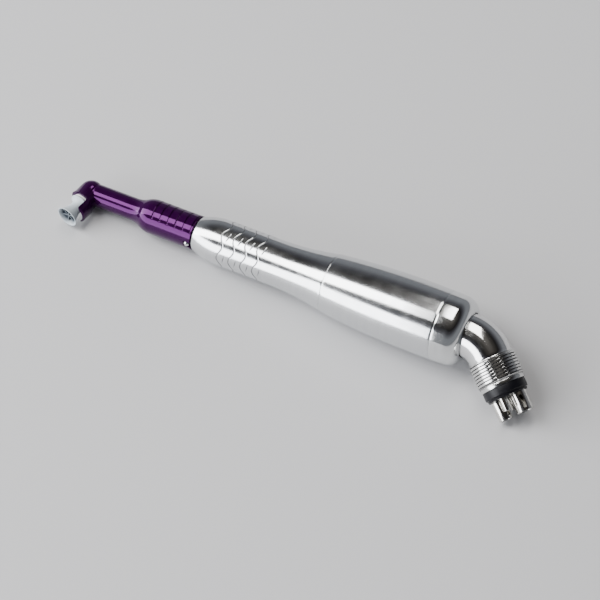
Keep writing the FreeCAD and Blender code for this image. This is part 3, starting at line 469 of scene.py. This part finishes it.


# soft grey cup; painted shade darkens the inside of its mouth, deeper towards the floor
def cupRubber():
    material, nodes, links, shader = newMaterial("cupRubber")
    vector = placedVector(nodes, links, headPlace)
    s = cupShade
    grain = groupNode(nodes, links, "grain", vector, Fineness=s["fineness"])
    split = nodes.new("ShaderNodeSeparateXYZ")
    links.new(vector, split.inputs[0])
    squares = [mathNode(nodes, links, "MULTIPLY", split.outputs[k], split.outputs[k]) for k in (1, 2)]
    radius = mathNode(nodes, links, "SQRT", mathNode(nodes, links, "ADD", *squares), None)
    slope, base = s["wall"]
    wall = mathNode(nodes, links, "MULTIPLY_ADD", split.outputs[0], slope, base - slope * s["wallStart"])
    inward = mathNode(nodes, links, "SUBTRACT", wall, radius)
    inside = clampedNode(nodes, links, inward, 1 / s["soften"], 0)
    deep = clampedNode(nodes, links, split.outputs[0], -1 / s["fade"], s["rim"] / s["fade"])
    foot = s["wallStart"] - s["footLow"]
    below = clampedNode(nodes, links, split.outputs[0], s["footRise"], -s["footRise"] * foot)
    # painted shade: inside the wall, away from the rim and above the foot, the colour is darkened towards inside
    paintedShade = mathNode(nodes, links, "MULTIPLY", inside, mathNode(nodes, links, "MULTIPLY", deep, below))
    tint = mixColour(nodes, links, grain.outputs["Clouds"], s["low"], s["high"])
    inner = mixColour(nodes, links, paintedShade, (1, 1, 1), s["inside"])
    links.new(multiplyColour(nodes, links, tint, inner), shader.inputs["Base Color"])
    rough = mathNode(nodes, links, "MULTIPLY_ADD", grain.outputs["Grain"], s["variation"], s["roughness"])
    links.new(rough, shader.inputs["Roughness"])
    links.new(bumpNode(nodes, links, grain.outputs["Grain"], s["bump"]), shader.inputs["Normal"])
    return material


# value times scale plus offset, kept between 0 and 1
def clampedNode(nodes, links, value, scale, offset):
    result = mathNode(nodes, links, "MULTIPLY_ADD", value, scale, offset)
    result.node.use_clamp = True
    return result


finish = {name: turnedMetal(name, **settings) for name, settings in steels.items()}
finish.update({name: mouldedPlastic(name, **settings) for name, settings in plastics.items()})
finish["violetPlastic"] = violetPlastic()
finish["cupRubber"] = cupRubber()
slotFinish = {
    "violet_plastic": "violetPlastic", "white_plastic": "whitePlastic", "cup_elastomer": "cupRubber",
    "sleeve_steel": "sleeveSteel", "housing_steel": "housingSteel", "cap_steel": "capSteel",
    "elbow_steel": "elbowSteel", "collar_steel": "collarSteel", "tube_steel": "tubeSteel",
    "key_steel": "keySteel", "inner_steel": "innerSteel", "gear_steel": "gearSteel",
    "bearing_steel": "bearingSteel", "bronze": "bronze", "vane_plastic": "vaneComposite",
    "black_rubber": "blackRubber",
}
nodeSlots = {part["node"]: part["material_slot"] for part in frame["record"]["subparts"]}


def dressNodes():
    for name, node in frame["nodes"].items():
        node.data.materials.clear()
        node.data.materials.append(finish[slotFinish[nodeSlots[name]]])


dressNodes()
print("finishes made:", len(finish))


# turned pieces: an outline of (x, radius) millimetres is spun about x

# points after start, up to end, on the circle through the three
def arcPoints(start, middle, end, steps):
    a, b, c = Vector(start), Vector(middle), Vector(end)
    ab = b - a
    ac = c - a
    cross = 2 * (ab.x * ac.y - ab.y * ac.x)
    centre = a + Vector((ac.y * ab.length_squared - ab.y * ac.length_squared,
                         ab.x * ac.length_squared - ac.x * ab.length_squared)) / cross
    first = math.atan2(a.y - centre.y, a.x - centre.x)
    sweep = math.atan2(c.y - centre.y, c.x - centre.x) - first
    way = math.atan2(b.y - centre.y, b.x - centre.x) - first
    full = 2 * math.pi
    if not 0 < way % full < sweep % full:
        sweep = sweep % full - full
    else:
        sweep %= full
    reach = (a - centre).length
    angles = [first + sweep * k / steps for k in range(1, steps + 1)]
    return [(centre.x + reach * math.cos(t), centre.y + reach * math.sin(t)) for t in angles]


def evenPoints(start, end, steps):
    return [(start[0] + (end[0] - start[0]) * k / steps, start[1] + (end[1] - start[1]) * k / steps)
            for k in range(1, steps + 1)]


def spinOutline(work, points, steps, closed=True):
    corners = [work.verts.new((x * mm, r * mm, 0)) for x, r in points]
    edges = [work.edges.new((corners[k], corners[k + 1])) for k in range(len(corners) - 1)]
    if closed:
        edges.append(work.edges.new((corners[-1], corners[0])))
    bmesh.ops.spin(work, geom=corners + edges, cent=(0, 0, 0), axis=(1, 0, 0), angle=2 * math.pi,
                   steps=steps, use_merge=True)
    bmesh.ops.remove_doubles(work, verts=work.verts, dist=1e-7)
    bmesh.ops.recalc_face_normals(work, faces=work.faces)


# round every edge that turns by more than this many degrees
def easeEdges(work, width, sharper=35, segments=2):
    sharp = [e for e in work.edges
             if len(e.link_faces) == 2 and math.degrees(e.calc_face_angle(0)) > sharper]
    bmesh.ops.bevel(work, geom=sharp, offset=width * mm, offset_type="OFFSET", segments=segments,
                    profile=0.5, affect="EDGES", clamp_overlap=True, material=-1)


# turn a bmesh into a piece that rides on a body, with its place in its mesh
def finishPiece(name, work, place, body, slot, replaced=()):
    bmesh.ops.transform(work, matrix=place, verts=work.verts)
    mesh = bpy.data.meshes.new(name)
    work.to_mesh(mesh)
    work.free()
    mesh.shade_smooth()
    mesh.set_sharp_from_angle(angle=math.radians(40))
    piece = bpy.data.objects.new(name, mesh)
    scene.collection.objects.link(piece)
    mesh.materials.append(finish[slotFinish[slot]])
    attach(piece, body)
    if replaced:
        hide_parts(*replaced)
    print("made", name, len(mesh.polygons), "faces")
    return piece


# front sleeve with its grip scales

sleeve = {
    "start": 31.6, "frontR": 4.45, "boreR": 3.25, "swell": (34.3, 5.38), "gripStart": 38.8,
    "gripR": 5.9, "gripEnd": 53.0, "waist": (61.1, 6.36), "end": 69.2, "endR": 7.66,
    "spigotR": 6.6, "spigotStart": 66.0, "innerR": 5.65, "innerStart": 64.0, "tubeR": 4.5,
    "shoulder": 33.4, "skin": 0.3, "steps": 240, "rounding": 0.10,
}
scales = {
    "first": 39.5, "pitch": 3.35, "rows": 4, "around": 6, "turn": 8, "wave": 1.1,
    "depth": 0.13, "run": 0.42, "stepWide": 0.12, "creaseAt": 2.05, "creaseReach": 0.2,
    "creaseWide": 0.13, "creaseDepth": 0.09, "creaseLean": -1.3,
}


# how deep the grip is cut here, in millimetres
def scaleDepth(x, angle):
    turned = (angle - math.radians(scales["turn"])) * scales["around"] / (2 * math.pi)
    across = turned - round(turned)
    deepest = 0.0
    for row in range(scales["rows"]):
        front = scales["first"] + row * scales["pitch"]
        edge = front + scales["wave"] * (1 - math.cos(2 * math.pi * across)) / 2
        behind = x - edge
        if 0 < behind < scales["run"]:
            drop = scales["depth"] * min(1, behind / scales["stepWide"]) * (1 - behind / scales["run"])
            deepest = max(deepest, drop)
        crease = x - front - scales["creaseAt"] - scales["creaseLean"] * across
        if abs(crease) < scales["creaseWide"] and abs(across) < scales["creaseReach"]:
            fade = 1 - (across / scales["creaseReach"]) ** 2
            line = 1 - (crease / scales["creaseWide"]) ** 2
            deepest += scales["creaseDepth"] * line * fade
    return deepest


def makeFrontSleeve():
    s = sleeve
    outline = [(s["start"], s["boreR"]), (s["start"], s["frontR"])]
    outline += arcPoints(outline[-1], s["swell"], (s["gripStart"], s["gripR"]), 26)
    outline += evenPoints(outline[-1], (s["gripEnd"], s["gripR"]), 270)
    outline += arcPoints(outline[-1], s["waist"], (s["end"], s["endR"]), 26)
    outline += [(s["end"], s["spigotR"]), (s["spigotStart"], s["spigotR"]),
                (s["spigotStart"], s["innerR"]), (s["innerStart"], s["innerR"]),
                (s["innerStart"], s["tubeR"]), (s["shoulder"], s["tubeR"]), (s["shoulder"], s["boreR"])]
    work = bmesh.new()
    spinOutline(work, outline, s["steps"])
    easeEdges(work, s["rounding"])
    cutStart = scales["first"] * mm
    cutEnd = (scales["first"] + scales["rows"] * scales["pitch"] + scales["run"]) * mm
    skinR = (s["gripR"] - s["skin"]) * mm
    # the mark records how deep each point is cut, for painted shade in the cuts
    grooveShade = work.verts.layers.float.new("grooveShade")
    for vert in work.verts:
        radius = math.hypot(vert.co.y, vert.co.z)
        if cutStart < vert.co.x < cutEnd and radius > skinR:
            depth = scaleDepth(vert.co.x / mm, math.atan2(vert.co.z, vert.co.y))
            vert.co.yz = vert.co.yz * (1 - depth * mm / radius)
            vert[grooveShade] = min(1, depth / scales["creaseDepth"])
    finishPiece("front_sleeve_shell", work, mainPlace, "handle", "sleeve_steel", ["front_sleeve"])


# motor housing and rear cap

housing = {
    "start": 69.2, "startR": 7.66, "bulge": (82.8, 8.77), "wide": 93.6, "wideR": 9.05,
    "taper": (96.6, 9.04), "end": 99.75, "endR": 9.01, "boreR": 7.0, "boreStart": 74.6,
    "ringR": 6.4, "spigotStart": 66.0, "spigotR": 6.6, "spigotBoreR": 5.65, "ringStart": 70.0,
    "steps": 192, "rounding": 0.05,
}
cap = {
    "start": 99.75, "startR": 9.01, "side": (101.5, 8.96), "shoulder": 103.2, "shoulderR": 8.86,
    "rim": (105.4, 7.95), "end": 106.5, "endR": 6.35, "dishR": 5.72, "dish": 105.2, "boreR": 3.85,
    "front": 97.35, "frontR": 7.0, "holeR": 2.6, "holeEnd": 98.3, "steps": 192, "rounding": 0.06,
}


def makeHousing():
    s = housing
    outline = [(s["start"], s["spigotR"]), (s["start"], s["startR"])]
    outline += arcPoints(outline[-1], s["bulge"], (s["wide"], s["wideR"]), 40)
    outline += arcPoints(outline[-1], s["taper"], (s["end"], s["endR"]), 10)
    outline += [(s["end"], s["boreR"]), (s["boreStart"], s["boreR"]), (s["boreStart"], s["ringR"]),
                (s["ringStart"], s["ringR"]), (s["ringStart"], s["spigotBoreR"]),
                (s["spigotStart"], s["spigotBoreR"]), (s["spigotStart"], s["spigotR"])]
    work = bmesh.new()
    spinOutline(work, outline, s["steps"])
    easeEdges(work, s["rounding"])
    finishPiece("motor_housing_shell", work, mainPlace, "handle", "housing_steel", ["motor_housing"])


def makeCap():
    s = cap
    outline = [(s["start"], s["frontR"]), (s["start"], s["startR"])]
    outline += arcPoints(outline[-1], s["side"], (s["shoulder"], s["shoulderR"]), 10)
    outline += arcPoints(outline[-1], s["rim"], (s["end"], s["endR"]), 18)
    outline += [(s["end"], s["dishR"]), (s["dish"], s["dishR"]), (s["dish"], s["boreR"]),
                (s["holeEnd"], s["boreR"]), (s["holeEnd"], s["holeR"]), (s["front"], s["holeR"]),
                (s["front"], s["frontR"])]
    work = bmesh.new()
    spinOutline(work, outline, s["steps"])
    easeEdges(work, s["rounding"])
    finishPiece("rear_cap_shell", work, mainPlace, "handle", "cap_steel", ["rear_cap"])


# swivel elbow: rings carried from the journal round the bend, then back along the bore

elbow = {
    "journalStart": 98.6, "journalR": 3.8, "journalBoreR": 2.6, "face": 105.5, "r": 5.55,
    "boreR": 4.2, "landEnd": 0.9, "segments": 128, "bendSteps": 24, "rounding": 0.10,
}


# places and radii of the rings, outside first and the bore on the way back
def elbowStations():
    s = elbow
    straight = [(s["journalStart"], s["journalR"]), (s["face"], s["journalR"]), (s["face"], s["r"])]
    stations = [(Matrix.Translation((x * mm, 0, 0)), r) for x, r in straight]
    turns = [bend["angle"] * k / s["bendSteps"] for k in range(s["bendSteps"] + 1)]
    stations += [(bendPlace(t), s["r"]) for t in turns]
    landEnd = bendPlace(bend["angle"]) @ Matrix.Translation((s["landEnd"] * mm, 0, 0))
    stations += [(landEnd, s["r"]), (landEnd, s["boreR"])]
    stations += [(bendPlace(t), s["boreR"]) for t in reversed(turns)]
    stations += [(bendPlace(0), s["journalBoreR"]), (stations[0][0], s["journalBoreR"])]
    return stations


def makeElbow():
    s = elbow
    work = bmesh.new()
    toX = Matrix.Rotation(math.radians(90), 4, "Y")
    stations = elbowStations()
    made = bmesh.ops.create_circle(work, segments=s["segments"], radius=stations[0][1] * mm,
                                   matrix=stations[0][0] @ toX)
    edges = list({e for v in made["verts"] for e in v.link_edges})
    first = edges
    for before, after in zip(stations, stations[1:]):
        grown = bmesh.ops.extrude_edge_only(work, edges=edges)["geom"]
        verts = [g for g in grown if isinstance(g, bmesh.types.BMVert)]
        edges = [g for g in grown if isinstance(g, bmesh.types.BMEdge)]
        ratio = after[1] / before[1]
        carry = after[0] @ Matrix.Diagonal((1, ratio, ratio, 1)) @ before[0].inverted()
        bmesh.ops.transform(work, matrix=carry, verts=verts)
    bmesh.ops.bridge_loops(work, edges=first + edges)
    bmesh.ops.recalc_face_normals(work, faces=work.faces)
    easeEdges(work, s["rounding"])
    finishPiece("swivel_elbow_shell", work, mainPlace, "swivel", "elbow_steel", ["swivel_elbow"])


# threaded collar, with a real helix

collar = {
    "start": 0.9, "boreR": 4.15, "boreStart": 0.1, "rootR": 5.6, "threadR": 5.95, "pitch": 0.76,
    "crest": 0.47, "flank": 0.15, "runOut": 0.3, "threadStart": 1.05, "threadEnd": 7.05,
    "landR": 5.7, "landStart": 7.2, "landEdge": 0.05, "end": 8.1, "holeStart": -2, "steps": 144,
    "rowsPerPitch": 12, "rounding": 0.05,
}


# flat-topped helical thread that runs out at both ends
def threadRadius(x, angle):
    s = collar
    phase = ((x - s["threadStart"]) / s["pitch"] - angle / (2 * math.pi)) % 1
    crest = min(1, max(0, (s["crest"] - abs(phase - 0.5)) / s["flank"]))
    runOut = min(1, (x - s["threadStart"]) / s["runOut"], (s["threadEnd"] - x) / s["runOut"])
    return s["rootR"] + (s["threadR"] - s["rootR"]) * crest * max(0, runOut)


def makeCollar():
    s = collar
    rows = round((s["threadEnd"] - s["threadStart"]) / s["pitch"] * s["rowsPerPitch"])
    outline = [(s["boreStart"], 0), (s["boreStart"], s["boreR"]), (s["start"], s["boreR"]),
               (s["start"], s["rootR"]), (s["threadStart"], s["rootR"])]
    outline += evenPoints(outline[-1], (s["threadEnd"], s["rootR"]), rows)
    outline += [(s["landStart"], s["rootR"]), (s["landStart"] + s["landEdge"], s["landR"]),
                (s["end"], s["landR"]), (s["end"], 0)]
    work = bmesh.new()
    spinOutline(work, outline, s["steps"], closed=False)
    easeEdges(work, s["rounding"])
    # the mark is 1 at the thread's root, for painted shade between the crests
    grooveShade = work.verts.layers.float.new("grooveShade")
    for vert in work.verts:
        x = vert.co.x / mm
        radius = math.hypot(vert.co.y, vert.co.z) / mm
        if s["threadStart"] < x < s["threadEnd"] and abs(radius - s["rootR"]) < near:
            wanted = threadRadius(x, math.atan2(vert.co.z, vert.co.y))
            vert.co.yz = vert.co.yz * (wanted / radius)
            vert[grooveShade] = (s["threadR"] - wanted) / (s["threadR"] - s["rootR"])
    return work


tubes = {
    "exhaust_tube": {"y": 2.45, "z": 0.0, "r": 2.15, "end": 15.9, "slotTurn": -25},
    "drive_air_tube": {"y": -2.85, "z": 0.0, "r": 1.75, "end": 15.9, "slotTurn": -60},
    "water_tube": {"y": -0.7, "z": 3.45, "r": 0.8, "end": 14.2},
    "chip_air_tube": {"y": -0.7, "z": -3.45, "r": 0.8, "end": 14.2},
}
tubeShape = {"start": 8.3, "wall": 0.32, "steps": 64, "rounding": 0.1,
             "slotStart": 11.8, "slotEnd": 15.2, "slotR": 0.52, "slotDeep": 3, "holeEnd": 12}
gasket = {"start": 8.1, "r": 5.5, "tier": 10.15, "tierEnd": 10.3, "innerR": 5.15, "end": 10.9,
          "endR": 5.05, "holeStart": 7, "steps": 128, "rounding": 0.09}


def looseObject(name, work):
    mesh = bpy.data.meshes.new(name)
    work.to_mesh(mesh)
    work.free()
    loose = bpy.data.objects.new(name, mesh)
    scene.collection.objects.link(loose)
    return loose


# the first shape with the added ones joined on and the tools cut out; all of them are closed
def carved(work, tools, added=()):
    base = looseObject("base", work)
    cutters = [looseObject("cutter", tool) for tool in list(added) + tools]
    for index, cutter in enumerate(cutters):
        step = base.modifiers.new("carve", "BOOLEAN")
        step.object = cutter
        step.operation = "UNION" if index < len(added) else "DIFFERENCE"
        step.solver = "EXACT"
    result = bmesh.new()
    result.from_object(base, bpy.context.evaluated_depsgraph_get())
    bmesh.ops.remove_doubles(result, verts=result.verts, dist=1e-6)
    bmesh.ops.dissolve_degenerate(result, dist=1e-7, edges=result.edges)
    for used in [base] + cutters:
        bpy.data.objects.remove(used)
    return result


def rod(radius, start, end, y=0, z=0, segments=64):
    work = bmesh.new()
    middle = Matrix.Translation(((start + end) / 2 * mm, y * mm, z * mm))
    lie = middle @ Matrix.Rotation(math.radians(90), 4, "Y")
    bmesh.ops.create_cone(work, cap_ends=True, segments=segments, radius1=radius * mm,
                          radius2=radius * mm, depth=(end - start) * mm, matrix=lie)
    return work


def tubeHoles(start):
    return [rod(t["r"], start, tubeShape["holeEnd"], t["y"], t["z"]) for t in tubes.values()]


def makeConnector():
    finishPiece("hose_collar_thread", carved(makeCollar(), tubeHoles(collar["holeStart"])), hosePlace,
                "swivel", "collar_steel", ["hose_collar"])
    s = gasket
    work = bmesh.new()
    spinOutline(work, [(s["start"], 0), (s["start"], s["r"]), (s["tier"], s["r"]),
                       (s["tierEnd"], s["innerR"]), (s["end"], s["endR"]), (s["end"], 0)],
                s["steps"], closed=False)
    easeEdges(work, s["rounding"], sharper=30, segments=3)
    finishPiece("gasket_ring", carved(work, tubeHoles(s["holeStart"])), hosePlace, "swivel",
                "black_rubber", ["connector_gasket"])
    for name, settings in tubes.items():
        makeTube(name, settings)


def makeTube(name, t):
    s = tubeShape
    inner = t["r"] - s["wall"]
    work = bmesh.new()
    spinOutline(work, [(s["start"], inner), (s["start"], t["r"]), (t["end"], t["r"]), (t["end"], inner)],
                s["steps"])
    easeEdges(work, s["rounding"])
    if "slotTurn" in t:
        work = carved(work, [slotCutter(t)])
    turn = Matrix.Rotation(math.radians(t.get("slotTurn", 0)), 4, "X")
    place = hosePlace @ Matrix.Translation((0, t["y"] * mm, t["z"] * mm)) @ turn
    finishPiece(name + "_end", work, place, "swivel", "tube_steel", [name])


# a long pill that goes through the wall on the tube's +z side
def slotCutter(t):
    s = tubeShape
    work = bmesh.new()
    middle = (s["slotStart"] + s["slotEnd"]) / 2
    bmesh.ops.create_cone(work, cap_ends=True, segments=32, radius1=s["slotR"] * mm,
                          radius2=s["slotR"] * mm, depth=s["slotDeep"] * mm,
                          matrix=Matrix.Translation((middle * mm, 0, t["r"] * mm)))
    reach = (s["slotEnd"] - s["slotStart"]) / 2 - s["slotR"]
    for vert in work.verts:
        vert.co.x += math.copysign(reach * mm, vert.co.x - middle * mm)
    return work


# polishing cup: a soft bell with three webs across its mouth

cup = {
    "start": 4.25, "baseR": 2.8, "baseEnd": 4.55, "hip": (5.1, 1.95), "waist": 6.3, "waistR": 1.62,
    "flare": (8.3, 2.15), "mouth": 9.7, "mouthR": 3.0, "lip": 0.34, "inside": (8.9, 2.12),
    "floor": 7.75, "floorR": 1.3, "webs": 3, "webTurn": 20, "webEdge": 0.06, "web": 0.22,
    "webSink": 0.1, "webTop": 9.05, "webInR": 1.36, "webOutR": 2.25, "steps": 96, "rounding": 0.09,
}


def makeCup():
    s = cup
    outline = [(s["start"], 0), (s["start"], s["baseR"]), (s["baseEnd"], s["baseR"])]
    outline += arcPoints(outline[-1], s["hip"], (s["waist"], s["waistR"]), 12)
    outline += arcPoints(outline[-1], s["flare"], (s["mouth"], s["mouthR"]), 16)
    outline += [(s["mouth"], s["mouthR"] - s["lip"])]
    outline += arcPoints(outline[-1], s["inside"], (s["floor"], s["floorR"]), 10)
    outline += [(s["floor"], 0)]
    work = bmesh.new()
    spinOutline(work, outline, s["steps"], closed=False)
    easeEdges(work, s["rounding"], segments=3)
    for k in range(s["webs"]):
        addWeb(work, 180 / s["webs"] * k + s["webTurn"])
    finishPiece("polishing_cup", work, headPlace, "cup", "cup_elastomer", ["prophy_cup"])


# one thin wall right across the hollow, wider at the mouth
def addWeb(work, degrees):
    s = cup
    turn = Matrix.Rotation(math.radians(degrees), 4, "X")
    low = s["floor"] - s["webSink"]
    size = Matrix.Diagonal(((s["webTop"] - low) * mm, 2 * mm, s["web"] * mm, 1))
    middle = Matrix.Translation(((s["webTop"] + low) / 2 * mm, 0, 0))
    made = bmesh.ops.create_cube(work, size=1, matrix=middle @ size)
    for vert in made["verts"]:
        wide = s["webOutR"] if vert.co.x > middle.translation.x else s["webInR"]
        vert.co.y = math.copysign(wide * mm, vert.co.y)
    edges = list({e for v in made["verts"] for e in v.link_edges})
    bmesh.ops.rotate(work, cent=(0, 0, 0), matrix=turn, verts=made["verts"])
    bmesh.ops.bevel(work, geom=edges, offset=s["webEdge"] * mm, segments=2, profile=0.5, affect="EDGES",
                    material=-1)


# violet angle moulding: body, flared neck and head with its half-round guard

angle = {
    "neckR": 2.92, "neckEnd": 12.7, "flare": (14.4, 3.16), "flareEnd": (15.8, 3.72),
    "shoulder": (17.4, 4.36), "bodyStart": 19.1, "bodyR": 4.5, "end": 31.2, "boreR": 2.42,
    "socketStart": 16.5, "socketR": 3.2, "steps": 144, "neckRows": 40, "rows": 240, "rounding": 0.12,
}
head = {
    "r": 3.3, "front": 4.0, "flareStart": 3.3, "guardR": 3.7, "guardEnd": 7.4, "guardEdge": 0.3,
    "guardBoreR": 3.15, "boreR": 2.45, "boreEnd": 3.95, "open": 3.55, "openTo": 2.2, "floor": -1.3,
    "well": -2.2, "wellR": 1.5, "pivot": -2.9, "pivotR": 0.5, "steps": 96,
}
keySlot = {"start": 29.35, "wide": 1.7, "low": 2.6, "tall": 3, "turn": 50.3}
grooves = {"first": 19.6, "pitch": 2.2, "count": 6, "wide": 0.42, "wall": 0.07, "depth": 0.24,
           "reach": 93, "fade": 5}


# how deep the grip grooves are here, in millimetres
def grooveDepth(x, turned):
    s = grooves
    index = min(s["count"] - 1, max(0, round((x - s["first"] - s["wide"] / 2) / s["pitch"])))
    inside = x - s["first"] - index * s["pitch"]
    wall = min(inside, s["wide"] - inside) / s["wall"]
    ends = (s["reach"] - abs(math.degrees(turned))) / s["fade"]
    return s["depth"] * min(1, max(0, wall)) * min(1, max(0, ends))


def angleBody():
    s = angle
    outline = [(0, 0), (0, s["neckR"])]
    outline += evenPoints(outline[-1], (s["neckEnd"], s["neckR"]), s["neckRows"])
    outline += arcPoints(outline[-1], s["flare"], s["flareEnd"], 12)
    outline += arcPoints(outline[-1], s["shoulder"], (s["bodyStart"], s["bodyR"]), 14)
    outline += evenPoints(outline[-1], (s["end"], s["bodyR"]), s["rows"]) + [(s["end"], 0)]
    work = bmesh.new()
    spinOutline(work, outline, s["steps"], closed=False)
    easeEdges(work, s["rounding"], sharper=60)
    for vert in work.verts:
        radius = math.hypot(vert.co.y, vert.co.z)
        if radius > (s["bodyR"] - near) * mm:
            depth = grooveDepth(vert.co.x / mm, math.atan2(vert.co.z, vert.co.y)) * mm
            vert.co.yz = vert.co.yz * (1 - depth / radius)
    return work


def spun(points, steps=96, place=Matrix.Identity(4)):
    work = bmesh.new()
    spinOutline(work, points, steps, closed=False)
    bmesh.ops.transform(work, matrix=place, verts=work.verts)
    return work


def block(corner, lengths, place):
    work = bmesh.new()
    middle = Matrix.Translation([(low + long / 2) * mm for low, long in zip(corner, lengths)])
    shape = Matrix.Diagonal([long * mm for long in lengths] + [1])
    bmesh.ops.create_cube(work, size=1, matrix=place @ middle @ shape)
    return work


def makeAngleBody():
    s = angle
    h = head
    toHead = mainPlace.inverted() @ headPlace
    slant = h["r"] * math.sqrt(0.5)
    outline = [(-h["r"], 0)] + arcPoints((-h["r"], 0), (-slant, slant), (0, h["r"]), 24)
    outline += [(h["flareStart"], h["r"]), (h["front"], h["guardR"]),
                (h["guardEnd"] - h["guardEdge"], h["guardR"]),
                (h["guardEnd"], h["guardR"] - h["guardEdge"]), (h["guardEnd"], 0)]
    shell = spun(outline, h["steps"], toHead)
    bore = spun([(0, 0), (0, s["boreR"]), (s["socketStart"], s["boreR"]), (s["socketStart"], s["socketR"]),
                 (s["end"] + 1, s["socketR"]), (s["end"] + 1, 0)])
    well = spun([(h["pivot"], 0), (h["pivot"], h["pivotR"]), (h["well"], h["pivotR"]),
                 (h["well"], h["wellR"]), (h["floor"], h["boreR"]), (h["boreEnd"], h["boreR"]),
                 (h["boreEnd"], h["guardBoreR"]), (h["guardEnd"] + 1, h["guardBoreR"]),
                 (h["guardEnd"] + 1, 0)], h["steps"], toHead)
    wide = h["guardR"] + 1
    front = block((h["open"], -wide, -wide), (h["guardEnd"], wide + h["openTo"], 2 * wide), toHead)
    k = keySlot
    slot = block((k["start"], -k["wide"] / 2, k["low"]), (s["end"], k["wide"], k["tall"]),
                 Matrix.Rotation(math.radians(k["turn"]), 4, "X"))
    work = carved(angleBody(), [bore, well, front, slot], [shell])
    finishPiece("angle_body", work, mainPlace, "angle_head", "violet_plastic", ["angle_housing"])


makeAngleBody()
makeFrontSleeve()
makeHousing()
makeCap()
makeElbow()
makeConnector()
makeCup()
